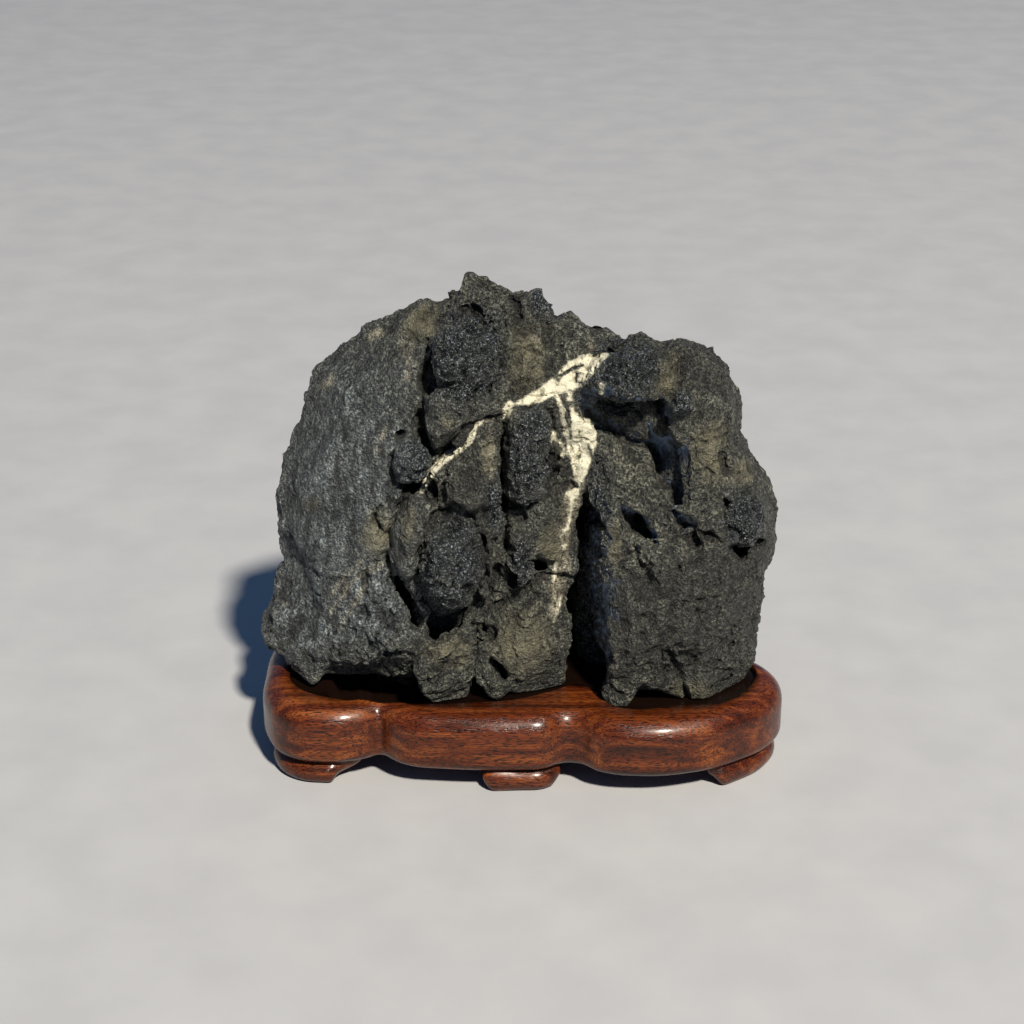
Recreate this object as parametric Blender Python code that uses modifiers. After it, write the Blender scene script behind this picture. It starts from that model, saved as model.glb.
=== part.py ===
"""A scholar's rock standing in the shallow seat of its carved wooden stand.

Run with: blender --background --python part.py
Metres, +Z up, +X along the stand, the face that is looked at towards -Y.
The origin is at the middle of the underside of the feet.
"""

import math

import bmesh
import bpy
from mathutils import Matrix, Vector, geometry, noise

MM = 0.001

# Stand
STAND_TOP = 17.0 * MM
FOOT_HEIGHT = 5.0 * MM
TOP_ROUNDING = 4.2 * MM
LOWER_ROUNDING = 2.0 * MM
FOOT_INSET = 1.6 * MM
FOOT_ROUNDING = 1.2 * MM
FOOT_OVERLAP = 2.5 * MM
SHARP_ANGLE = math.radians(30.0)
SEAT_DEPTH = 1.5 * MM

# Stone
GAP = 0.3 * MM
SEAT_FLOOR = STAND_TOP - SEAT_DEPTH
VOXEL = 0.8 * MM
STONE_FACES = 6700
LUMP_NOISE = 0.9 * MM
LUMP_NOISE_LENGTH = 9.0 * MM
CHIP_NOISE = 0.5 * MM
CHIP_NOISE_LENGTH = 3.2 * MM
FACING = 0.1

# The stone is laid out on a drawing, as seen by an eye in front of it and a little above. A point is given in
# millimetres across and up the drawing, with its depth along Y, so every ridge and cleft lies where it is seen.
EYE_RISE = math.radians(24.0)
EYE_DISTANCE = 450.0
DRAWING_CENTRE = (-2.4, 1.5, 49.6)

# The stand's outline in plan, in millimetres, anticlockwise from the left end. "cusp" marks the notches
# between two lobes, where the outline turns sharply.
STAND_OUTLINE = [
    (-53.0, 0.0, "round"),
    (-51.8, -13.0, "round"),
    (-47.0, -20.4, "round"),
    (-39.5, -22.4, "round"),
    (-32.5, -21.3, "round"),
    (-28.6, -19.2, "cusp"),
    (-24.0, -23.2, "round"),
    (-15.0, -25.0, "round"),
    (-0.5, -25.2, "round"),
    (4.5, -24.6, "round"),
    (7.6, -24.5, "round"),
    (13.0, -26.8, "round"),
    (22.0, -27.7, "round"),
    (33.0, -26.4, "round"),
    (43.0, -21.6, "round"),
    (50.0, -15.0, "round"),
    (52.3, -8.0, "round"),
    (50.8, -1.5, "round"),
    (46.0, 4.5, "cusp"),
    (46.0, 12.5, "round"),
    (41.0, 20.0, "round"),
    (31.0, 25.0, "round"),
    (20.0, 26.0, "round"),
    (11.0, 23.6, "cusp"),
    (2.0, 26.8, "round"),
    (-10.0, 27.7, "round"),
    (-20.0, 26.0, "round"),
    (-27.0, 21.5, "cusp"),
    (-33.5, 24.2, "round"),
    (-42.0, 23.6, "round"),
    (-49.0, 18.5, "round"),
    (-52.4, 9.5, "round"),
]
OUTLINE_STEPS = 3

# Each foot keeps the part of the inset outline that lies in this block: left, right, front, back at its top,
# and how far its sides lean inwards by its bottom
FEET = {
    "left_front": ((-60.0, -30.0, -36.0, -4.0), 8.0),
    "middle_front": ((-9.2, 8.2, -36.0, -10.5), 2.0),
    "right_front": ((34.8, 60.0, -36.0, -4.0), 4.0),
    "left_back": ((-60.0, -32.5, 6.0, 40.0), 4.0),
    "middle_back": ((-14.0, 5.0, 12.0, 40.0), 2.0),
    "right_back": ((26.5, 60.0, 7.0, 40.0), 4.0),
}

# The seat follows the stone's underside
SEAT_OUTLINE = [
    (-47.5, -2.0),
    (-46.5, -10.0),
    (-40.0, -15.5),
    (-30.0, -17.0),
    (-19.0, -18.6),
    (-10.0, -18.0),
    (-2.0, -16.8),
    (6.0, -13.0),
    (11.0, -10.5),
    (15.5, -17.0),
    (20.0, -20.4),
    (30.0, -19.4),
    (39.0, -17.6),
    (45.5, -11.0),
    (47.0, -3.0),
    (42.5, 6.0),
    (40.0, 14.0),
    (30.0, 19.5),
    (12.0, 19.0),
    (-8.0, 21.5),
    (-24.0, 18.5),
    (-38.0, 19.0),
    (-46.0, 9.0),
]

# Masses of the stone, each the smallest convex body round its points: (across, up, depth)
MASSES = {
    "left_body": [
        (-45.6, -9.0, 4), (-47.8, 1.8, 4), (-46.6, 9.2, 5), (-42.8, 16.6, 5), (-41.4, 21.4, 5),
        (-38.4, 30.8, 6), (-33.5, 35.2, 6), (-25.0, 38.8, 6), (-22.2, 41.4, 5), (-18.4, 43.0, 5),
        (-15.6, 42.8, 3), (-15.5, 36.0, -5), (-17.2, 30.0, -9), (-18.0, 22.0, -12), (-20.0, 15.0, -13.5),
        (-22.0, 4.0, -15), (-23.0, -8.0, -16), (-34.0, 22.0, -6), (-37.0, 8.0, -8), (-37.0, -6.0, -9),
        (-26.0, -16.0, -16), (-38.0, -18.0, -11), (-42.0, -4.0, 14), (-40.0, 12.0, 15), (-34.0, 26.0, 14),
        (-26.0, 32.0, 13), (-16.0, 37.0, 12), (-24.0, 18.0, 19), (-16.0, 28.0, 16), (-30.0, 0.0, 19),
    ],
    "lower_left_body": [
        (-46.0, -10.6, 3), (-48.0, -15.6, 2), (-49.6, -21.4, 1), (-49.2, -24.6, 0), (-45.4, -28.0, -3),
        (-43.6, -32.0, -7), (-38.0, -31.6, -11), (-36.0, -16.0, -11.5), (-27.0, -11.0, -16),
        (-24.0, -12.0, -16.8), (-17.6, -24.6, -18), (-19.4, -32.4, -17), (-33.0, -31.6, -13.5),
        (-22.0, -28.0, -18.2), (-42.0, -10.0, 12), (-43.0, -24.0, 10), (-34.0, -26.0, 4), (-20.0, -30.0, 4),
    ],
    "left_tip": [
        (-44.4, -29.0, -6), (-42.8, -33.2, -8), (-40.0, -35.8, -10), (-38.0, -33.6, -10), (-37.4, -28.0, -12),
        (-42.0, -26.0, -9), (-40.0, -30.0, -2),
    ],
    "left_back": [
        (-43.0, -16.0, 12), (-44.0, -24.0, 9), (-43.0, -30.0, 1), (-42.0, -8.0, 14), (-30.0, -22.0, 20),
        (-14.0, -22.0, 21),
        (-10.0, 0.0, 21), (-22.0, 10.0, 19), (-36.0, 0.0, 16), (-12.0, -36.0, 6), (-30.0, -34.0, 2),
        (-12.0, 20.0, 18), (-12.0, -10.0, 0), (-30.0, -10.0, 0),
    ],
    "middle_core": [
        (-15.0, 43.6, 4), (-11.4, 44.8, 3), (-4.0, 44.6, 3), (2.4, 44.0, 3), (6.6, 40.8, 4), (8.0, 38.2, 4),
        (-15.0, 34.0, -6), (-10.0, 30.0, -9), (0.0, 34.0, -6), (6.0, 31.0, -7), (-20.0, 20.0, -9.5),
        (0.0, 20.0, -10), (10.0, 22.0, -9), (11.6, 12.0, -9), (10.6, 0.0, -9), (10.0, -14.0, -9.5),
        (-21.0, -11.0, -11.5), (-4.0, -12.0, -12), (-21.0, 0.0, -11.5), (9.0, -26.0, -8), (-4.0, -26.0, -11),
        (-12.0, 34.0, 14), (4.0, 34.0, 14), (8.0, 20.0, 18), (8.0, -20.0, 21), (-12.0, -20.0, 21),
        (-6.0, 10.0, 22), (9.0, -36.0, 0), (-8.0, -36.0, -2),
    ],
    "upper_slope": [
        (2.0, 42.0, 1), (8.0, 38.0, 3), (11.0, 39.4, 3), (13.6, 39.6, 3), (16.0, 38.0, 4), (17.4, 36.4, 4),
        (20.8, 34.6, 4), (24.0, 33.0, 4), (0.0, 32.0, -7), (4.0, 26.0, -9), (12.0, 31.0, -6),
        (18.4, 31.2, -5.5), (15.6, 24.0, -8), (16.6, 16.0, -9), (10.0, 18.0, -9.5), (8.0, 30.0, 14),
        (10.0, 20.0, 18), (22.0, 28.0, 12),
    ],
    "vein_face": [
        (7.4, 22.0, -9.5), (15.0, 22.0, -9), (17.0, 16.0, -9.5), (16.0, 10.0, -9), (13.4, 5.0, -8.5),
        (11.8, -4.0, -8.5), (11.6, -16.0, -9), (8.0, 10.0, -10), (9.0, -10.0, -10.5), (12.0, 10.0, 4),
    ],
    "right_core": [
        (16.0, 22.0, -2), (15.0, 10.0, -1), (13.6, -24.0, 0), (24.0, 30.0, 2), (30.0, 33.4, 3),
        (36.0, 33.6, 4), (42.0, 30.0, 4), (44.0, 22.0, 5), (45.5, 12.0, 5), (49.5, 6.0, 5), (51.0, -8.0, 5),
        (46.0, -24.0, 5), (32.0, 24.0, -7), (36.0, 0.0, -14), (18.0, 20.0, -5), (25.0, 14.0, -8),
        (14.0, -36.0, 2), (38.0, -34.0, 2),
        (40.0, -20.0, 13), (44.0, -4.0, 12), (40.0, 16.0, 13), (34.0, 24.0, 12), (24.0, 22.0, 14),
        (12.0, 10.0, 20), (30.0, 0.0, 19), (30.0, -20.0, 20), (10.0, -20.0, 21),
    ],
    "pinnacle": [
        (-11.4, 43.4, 0), (-10.4, 46.0, 0), (-9.6, 48.1, 1), (-6.8, 48.3, 1), (-5.0, 46.8, 1), (-3.0, 45.2, 1),
        (0.6, 44.0, 0), (1.6, 36.0, -5), (-11.8, 40.0, -3), (-12.4, 33.0, -7), (-7.0, 44.0, -3.5),
        (-9.0, 41.0, 9), (-3.0, 40.0, 9),
    ],
    "knob": [
        (1.6, 44.0, 0), (4.4, 45.0, 1), (6.2, 43.6, 1), (7.2, 41.4, 1), (7.8, 38.4, 0), (5.0, 35.0, -4),
        (1.6, 36.0, -5), (1.2, 40.0, -3.5), (4.6, 41.0, -4), (4.0, 38.0, 8),
    ],
    "pitted_boulder": [
        (-15.2, 35.0, -9), (-14.6, 38.0, -6.5), (-11.5, 40.2, -5), (-7.5, 39.0, -7), (-3.6, 35.4, -9),
        (-3.0, 28.0, -11.5), (-4.4, 25.0, -13), (-10.0, 24.0, -15), (-15.0, 25.0, -13.5), (-16.4, 30.0, -11),
        (-13.5, 33.6, -13.5), (-8.0, 34.0, -13.5), (-7.4, 27.0, -15.5), (-14.0, 28.0, -15.3), (-8.0, 30.0, 0),
    ],
    "boulder_foot": [
        (-18.4, 23.0, -12.5), (-11.0, 25.4, -13), (-5.0, 24.0, -12.5), (-2.6, 19.6, -12), (-7.6, 16.6, -13),
        (-9.5, 14.4, -13.5), (-15.6, 11.0, -13), (-17.6, 16.0, -12.5), (-16.0, 21.6, -16),
        (-8.0, 22.0, -15), (-14.5, 14.0, -16), (-12.0, 18.0, -2),
    ],
    "small_boulder": [
        (-23.8, 11.0, -14.5), (-22.4, 14.8, -14.5), (-19.6, 15.4, -14.5), (-15.4, 10.4, -14.5),
        (-17.6, 6.4, -15), (-22.6, 5.4, -15), (-23.8, 8.0, -15), (-21.0, 12.0, -17.5), (-18.4, 9.4, -17.5),
        (-20.0, 10.0, -6),
    ],
    "wedge": [
        (-18.4, 4.8, -14), (-14.6, 9.6, -15), (-8.0, 16.6, -15), (-3.6, 19.0, -13.5), (-2.2, 12.0, -14.5),
        (-2.4, 2.0, -15), (-7.0, -1.6, -15), (-13.6, -0.6, -15), (-17.4, 2.0, -15), (-6.0, 10.6, -17),
        (-5.6, 3.0, -17.5), (-12.0, 4.6, -17.2), (-8.0, 6.0, -2),
    ],
    "oval_boulder": [
        (-17.4, -5.0, -16), (-13.6, -1.0, -16), (-9.0, -1.2, -16), (-6.2, -6.0, -16), (-6.2, -14.0, -16.5),
        (-9.2, -19.8, -16), (-14.0, -21.4, -16), (-17.4, -18.0, -16), (-18.6, -11.0, -16), (-15.0, -5.4, -20),
        (-10.0, -5.0, -20), (-8.6, -12.0, -21), (-10.6, -17.6, -19.8), (-15.5, -17.0, -20), (-13.0, -10.4, -22.2),
        (-16.6, -11.5, -20), (-12.0, -11.0, -6),
    ],
    "crescent_ledge": [
        (-21.0, 4.4, -15.5), (-23.4, -3.0, -16), (-24.0, -10.0, -16.5), (-20.6, -14.6, -17.5),
        (-18.6, -11.0, -19.2), (-18.6, -3.0, -19.2), (-18.6, 4.6, -17.5), (-20.4, -6.0, -19.8),
        (-20.4, 2.0, -18), (-19.0, -13.0, -18), (-20.0, -4.0, -8),
    ],
    "above_boulder": [
        (-19.4, 4.6, -16), (-16.0, 1.6, -16), (-7.0, -0.2, -15.8), (-2.4, 1.0, -14.5), (-2.6, -8.0, -14.5),
        (-3.6, -17.0, -14.5), (-5.0, -20.0, -14), (-7.0, -8.0, -16), (-18.6, -4.0, -17), (-10.0, -8.0, -4),
        (-6.4, -18.0, -14.5),
    ],
    "dark_pillar": [
        (-0.8, 20.6, -10.5), (-0.6, 12.0, -13), (-0.6, 3.6, -13), (2.4, 0.6, -13), (7.0, 3.6, -12.5),
        (7.8, 11.0, -12.5), (7.8, 18.6, -11.5), (4.8, 21.6, -10.5), (1.6, 18.0, -15), (5.4, 17.0, -15),
        (2.0, 6.0, -16), (5.6, 7.0, -15.6), (3.4, 11.0, -17), (3.0, 10.0, -2),
    ],
    "lower_pillar": [
        (-0.8, -2.0, -11.5), (2.0, -2.4, -13), (3.8, -9.0, -13), (3.6, -16.0, -13), (-0.6, -18.0, -12),
        (-1.0, -10.0, -12.5), (0.6, -6.0, -15), (1.6, -14.0, -15.2), (1.0, -10.0, -2),
    ],
    "middle_shoulder": [
        (1.4, 3.0, -12.5), (8.6, 5.6, -10.5), (11.4, 0.0, -9.5), (11.4, -8.0, -9.5), (9.0, -10.0, -11),
        (3.8, -8.0, -13), (3.0, -3.0, -14), (7.0, -1.0, -13.6), (8.0, -2.0, -2),
    ],
    "lower_middle": [
        (-3.4, -19.6, -13), (2.0, -16.0, -13), (7.0, -12.6, -11.8), (11.6, -15.0, -9.5), (12.2, -28.0, -9.5),
        (11.0, -34.0, -8.5), (4.2, -36.4, -11), (0.2, -37.2, -12), (-3.4, -29.4, -13.5), (3.4, -22.0, -15.6),
        (7.6, -27.0, -14.5), (2.0, -30.0, -15.6), (-2.6, -24.0, -14.5), (5.0, -28.0, 0), (5.0, -37.0, -2),
    ],
    "middle_left_foot": [
        (-20.0, -28.0, -17), (-14.0, -25.4, -17), (-9.0, -23.4, -16), (-6.4, -26.6, -15.5),
        (-8.4, -32.0, -15.5), (-8.8, -38.0, -14), (-15.6, -39.0, -16.5), (-18.0, -37.0, -16),
        (-19.8, -32.6, -17), (-13.4, -31.0, -18.6), (-12.0, -30.0, -2), (-14.0, -36.0, -4),
    ],
    "small_foot": [
        (-6.2, -26.0, -13.5), (-3.0, -25.0, -14), (-0.2, -33.0, -14), (-0.2, -35.8, -13.5), (-2.8, -38.4, -15),
        (-5.0, -37.0, -15), (-7.0, -34.0, -14.5), (-3.8, -32.0, -16.2), (-4.0, -32.0, -4),
    ],
    "right_face": [
        (18.0, -3.0, -15), (24.0, -2.0, -17.5), (31.0, 0.0, -18.5), (38.0, 2.0, -18.8), (45.0, 0.0, -16),
        (49.6, -10.0, -9), (51.0, -14.0, -3), (49.0, -18.6, -3), (49.0, -22.2, -3), (48.0, -28.0, -4),
        (47.6, -31.4, -5), (46.4, -34.0, -6), (44.4, -36.4, -9), (38.6, -39.2, -13.5), (34.4, -37.8, -14.5),
        (27.0, -33.6, -17.5), (18.6, -33.0, -17.5), (16.0, -27.6, -13), (17.6, -18.0, -14.5),
        (19.6, -12.0, -18), (20.0, -20.0, -18.6), (28.0, -22.0, -21.5), (30.0, -10.0, -20.8),
        (39.0, -22.0, -20.5), (39.0, -8.0, -20.4), (45.6, -20.0, -15), (13.2, -3.0, -5), (12.8, -20.0, -4),
        (30.0, -36.0, -6), (30.0, -10.0, 0),
        (49.6, -12.0, 3), (47.6, -24.0, 3), (46.0, -31.0, 1), (36.0, -37.0, 0),
    ],
    "right_foot": [
        (16.6, -31.0, -15), (17.6, -37.6, -14.5), (20.4, -40.0, -17.5), (23.4, -40.0, -18), (24.6, -37.0, -17),
        (25.4, -32.0, -19), (19.0, -30.0, -18.2), (20.0, -34.0, -6),
    ],
    "dome": [
        (29.6, 34.0, 0), (34.2, 35.1, 0), (37.2, 34.9, 0), (39.8, 33.7, 0), (43.4, 31.2, 1), (44.6, 27.0, 1),
        (45.8, 21.6, 2), (46.8, 17.6, 2), (47.0, 12.6, 2), (29.2, 30.0, -9), (33.0, 32.8, -7),
        (38.0, 31.6, -7), (42.4, 27.0, -7), (30.4, 22.0, -13.5), (32.0, 16.0, -15.5), (35.0, 10.0, -17.4),
        (35.4, 2.0, -19), (44.4, 4.0, -16.4), (45.4, 14.0, -9.5), (45.0, -9.0, -17.2), (36.0, -6.0, -19.8),
        (39.0, 20.0, -15), (36.0, 20.0, 0),
    ],
    "right_flank": [
        (46.8, 12.8, 3), (49.2, 10.4, 3), (51.4, 7.8, 2), (53.8, 2.0, 1), (54.0, -1.8, 1), (52.6, -7.6, 1),
        (51.0, -14.0, 0), (45.0, 12.0, -10), (45.4, 2.0, -14.5), (45.4, -10.0, -14.5), (50.8, 3.0, -8.5),
        (50.6, -6.0, -9), (44.0, 0.0, 8),
    ],
    "upper_lump": [
        (15.2, 28.8, -8.5), (15.4, 25.4, -10), (19.4, 32.0, -6), (22.4, 34.4, -3), (23.6, 36.6, -1),
        (26.0, 36.0, -1), (29.0, 34.4, -2), (29.4, 30.0, -9), (28.8, 25.0, -13.4), (25.6, 25.0, -15),
        (20.4, 25.2, -14.6), (17.0, 22.6, -12), (20.6, 30.6, -11), (26.0, 31.0, -12), (18.0, 28.0, 4),
        (24.0, 33.4, 6), (29.4, 33.0, 6), (30.0, 26.0, -4),
    ],
    "ledge": [
        (16.8, 16.0, -9.8), (20.0, 15.8, -10.4), (24.4, 14.8, -12), (28.2, 12.0, -14), (31.0, 7.4, -16.4),
        (33.0, 3.0, -18), (33.4, -4.0, -18.8), (26.0, -8.0, -18), (18.0, -6.0, -15.4), (17.0, 3.0, -12.5),
        (21.0, 6.0, -15.5), (27.0, 4.0, -17.8), (22.0, 12.0, -13.4), (24.0, 6.0, -2), (14.6, 6.0, -5),
    ],
    "behind_groove": [
        (5.0, 23.0, 10), (21.0, 26.0, 9), (4.0, -38.0, 9), (22.0, -38.0, 9), (5.0, 18.0, 20),
        (21.0, 18.0, 19), (5.0, -34.0, 20), (21.0, -34.0, 19),
    ],
    "left_seam": [
        (-31.0, 22.0, 8), (-13.0, 31.0, 5), (-13.0, -12.0, 2), (-31.0, -12.0, 4), (-30.0, 18.0, 17),
        (-14.0, 28.0, 15), (-14.0, -8.0, 20), (-30.0, -8.0, 19),
    ],
    "back_shoulder": [
        (-38.0, 10.0, 15), (-31.0, 25.0, 15), (-22.0, 20.0, 20), (-20.0, 2.0, 22.5), (-29.0, -6.0, 22.5),
        (-36.0, 0.0, 19), (-27.0, 10.0, 21.5), (-28.0, 6.0, 8),
    ],
    "back_boulder": [
        (37.0, 16.0, 13), (26.0, 18.0, 17), (22.0, 4.0, 21.5), (27.0, -9.0, 23), (36.0, -7.0, 20),
        (40.0, 4.0, 16), (31.0, 5.0, 22), (30.0, 4.0, 8),
    ],
    "back_ledge": [
        (-18.0, -12.0, 23), (-8.0, -6.0, 24), (6.0, -8.0, 24.5), (12.0, -18.0, 23.5), (14.0, -28.0, 21),
        (-20.0, -26.0, 21), (-4.0, -16.0, 25.5), (-2.0, -16.0, 10),
    ],
    "back_spine": [
        (-4.0, 38.0, 11), (2.0, 36.0, 12), (-2.0, 26.0, 18), (2.0, 12.0, 21.5), (-4.0, 2.0, 23),
        (6.0, 4.0, 22), (-8.0, 14.0, 20), (0.0, 20.0, 8),
    ],
    "oval_lump": [
        (43.0, 1.0, -14), (45.6, 4.6, -13), (50.0, 2.6, -9.6), (50.8, -3.0, -9.6), (48.0, -6.8, -12),
        (43.6, -3.6, -15), (46.0, -1.0, -16.4), (48.4, -1.0, -14.5), (46.0, -1.0, -2),
    ],
}

# Rounded lumps: (across, up, depth), then half sizes in millimetres, then lean clockwise in degrees
LUMPS = {
    "glossy_bump": ((33.8, 21.8, -14.8), (1.8, 2.0, 2.8), 20),
    "ridge_knob": ((18.8, 35.2, 3.0), (2.0, 3.0, 2.0), 0),
    "left_heel": ((-45.0, -22.0, 0.0), (4.6, 6.0, 7.0), 15),
    "brow": ((-19.5, 39.6, 3.5), (5.0, 5.0, 3.2), -30),
}

# Clefts and hollows cut into the masses, given in the same way as the masses
CLEFTS = {
    "cleft_by_boulder": [
        (-16.2, 35.0, -12), (-15.2, 34.0, -20), (-17.2, 33.0, -20), (-19.0, 22.6, -20), (-16.8, 23.0, -20),
        (-17.8, 24.0, -5), (-16.8, 31.0, -5),
    ],
    "notch_by_boulder": [
        (-20.0, 16.0, -22), (-18.4, 19.5, -22), (-15.6, 11.4, -22), (-17.4, 11.4, -22), (-17.6, 16.0, -8),
        (-16.6, 13.0, -9),
    ],
    "long_fissure": [
        (-2.2, 19.4, -20), (-0.4, 19.0, -20), (-2.6, 2.0, -20), (-0.4, 2.0, -20), (-1.4, 18.0, -4),
        (-1.6, 2.0, -4), (-2.6, -8.0, -20), (-0.6, -9.0, -20), (-1.6, -8.0, -6),
    ],
    "fissure_end": [
        (-2.4, -6.0, -20), (-0.8, -6.0, -20), (0.6, -14.0, -20), (-0.8, -15.0, -20), (-1.0, -8.0, -6),
        (-0.4, -13.0, -7),
    ],
    "hollow_beside_boulder": [
        (-23.6, -13.6, -28), (-21.0, -14.8, -28), (-20.2, -19.0, -28), (-22.4, -17.0, -28), (-21.2, -16.6, -15),
    ],
    "hollow_under_boulder": [
        (-20.0, -18.0, -28), (-17.6, -19.6, -28), (-14.0, -21.2, -28), (-10.0, -20.2, -28), (-11.4, -22.6, -28),
        (-13.2, -24.4, -28), (-16.6, -24.6, -28), (-19.2, -21.6, -28), (-16.4, -21.6, -13), (-13.0, -22.0, -13),
    ],
    "groove": [
        (12.6, 9.0, -24), (17.0, 9.0, -24), (18.2, -2.0, -26), (18.6, -20.0, -28), (17.0, -26.0, -28),
        (16.2, -34.0, -26), (17.4, -44.0, -26), (10.8, -44.0, -24), (11.4, -26.0, -24), (12.0, -12.0, -24),
        (14.0, 5.0, -4), (14.6, -10.0, 2), (14.6, -44.0, 6), (12.6, -44.0, 6),
    ],
    "recess_under_lump": [
        (14.0, 25.2, -26), (22.0, 24.8, -28), (28.0, 25.2, -28), (29.4, 20.6, -28), (27.0, 14.8, -28),
        (24.0, 15.6, -26), (18.0, 17.4, -24), (13.2, 20.4, -24), (15.0, 23.6, -5), (20.0, 24.4, -3),
        (27.6, 24.4, -4), (27.6, 19.0, -6.5), (19.0, 19.4, -6),
    ],
    "recess_by_dome": [
        (29.0, 21.0, -28), (31.2, 16.0, -28), (34.6, 11.0, -28), (34.8, 2.8, -28), (33.2, 2.4, -28),
        (31.2, 7.8, -28), (28.4, 12.6, -28), (27.0, 15.0, -28), (28.6, 17.0, -7), (31.6, 8.0, -12),
        (33.8, 3.4, -15.5),
    ],
    "gap_beside_hollow": [
        (-9.8, -20.0, -24), (-4.2, -19.6, -24), (-4.4, -26.4, -24), (-8.6, -26.8, -24), (-6.6, -22.0, -8),
        (-6.4, -25.0, -8),
    ],
    "gap_by_small_foot": [
        (-7.4, -27.0, -22), (-6.4, -27.6, -22), (-9.2, -39.0, -22), (-5.4, -39.0, -22), (-7.2, -30.0, -9),
        (-7.4, -39.0, -6),
    ],
    "hole_by_middle": [
        (-3.4, -30.4, -22), (0.6, -31.4, -22), (2.0, -33.6, -22), (0.2, -36.4, -22), (-1.6, -34.6, -22),
        (-0.4, -33.0, -7),
    ],
    "black_pocket": [
        (3.0, -8.4, -20), (6.8, -9.8, -20), (7.4, -11.4, -20), (3.8, -13.6, -20), (3.2, -12.0, -20),
        (4.8, -11.0, -7),
    ],
    "pit_above_foot": [
        (-22.0, -25.8, -24), (-17.8, -26.6, -24), (-19.0, -28.4, -24), (-20.8, -28.2, -24), (-20.0, -27.0, -12),
    ],
    "slot_in_recess": [
        (28.0, 14.0, -24), (30.6, 13.0, -24), (30.6, 7.6, -24), (28.6, 8.6, -24), (29.6, 11.0, -10),
    ],
    "pocket_below_ledge": [
        (21.4, 1.6, -23), (24.0, 1.4, -23), (28.6, -3.0, -24), (28.6, -6.4, -24), (24.6, -6.0, -23),
        (25.6, -3.6, -13.5),
    ],
    "slit_one": [
        (32.4, -0.6, -26), (34.0, -0.4, -26), (37.4, -6.6, -26), (36.0, -5.4, -26), (35.0, -3.0, -13),
    ],
    "slit_two": [
        (37.8, -4.2, -26), (41.4, -5.2, -26), (38.6, -6.2, -26), (39.4, -5.2, -14),
    ],
    "under_oval_lump": [
        (43.4, -4.0, -24), (46.4, -5.4, -22), (49.0, -7.4, -20), (47.6, -9.8, -22), (45.0, -8.0, -24),
        (46.8, -7.0, -7),
    ],
    "right_arch": [
        (25.4, -34.6, -26), (29.0, -34.0, -26), (33.0, -37.0, -26), (33.4, -42.0, -26), (25.0, -42.0, -26),
        (29.0, -36.0, -9), (29.0, -42.0, -5),
    ],
}

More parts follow.
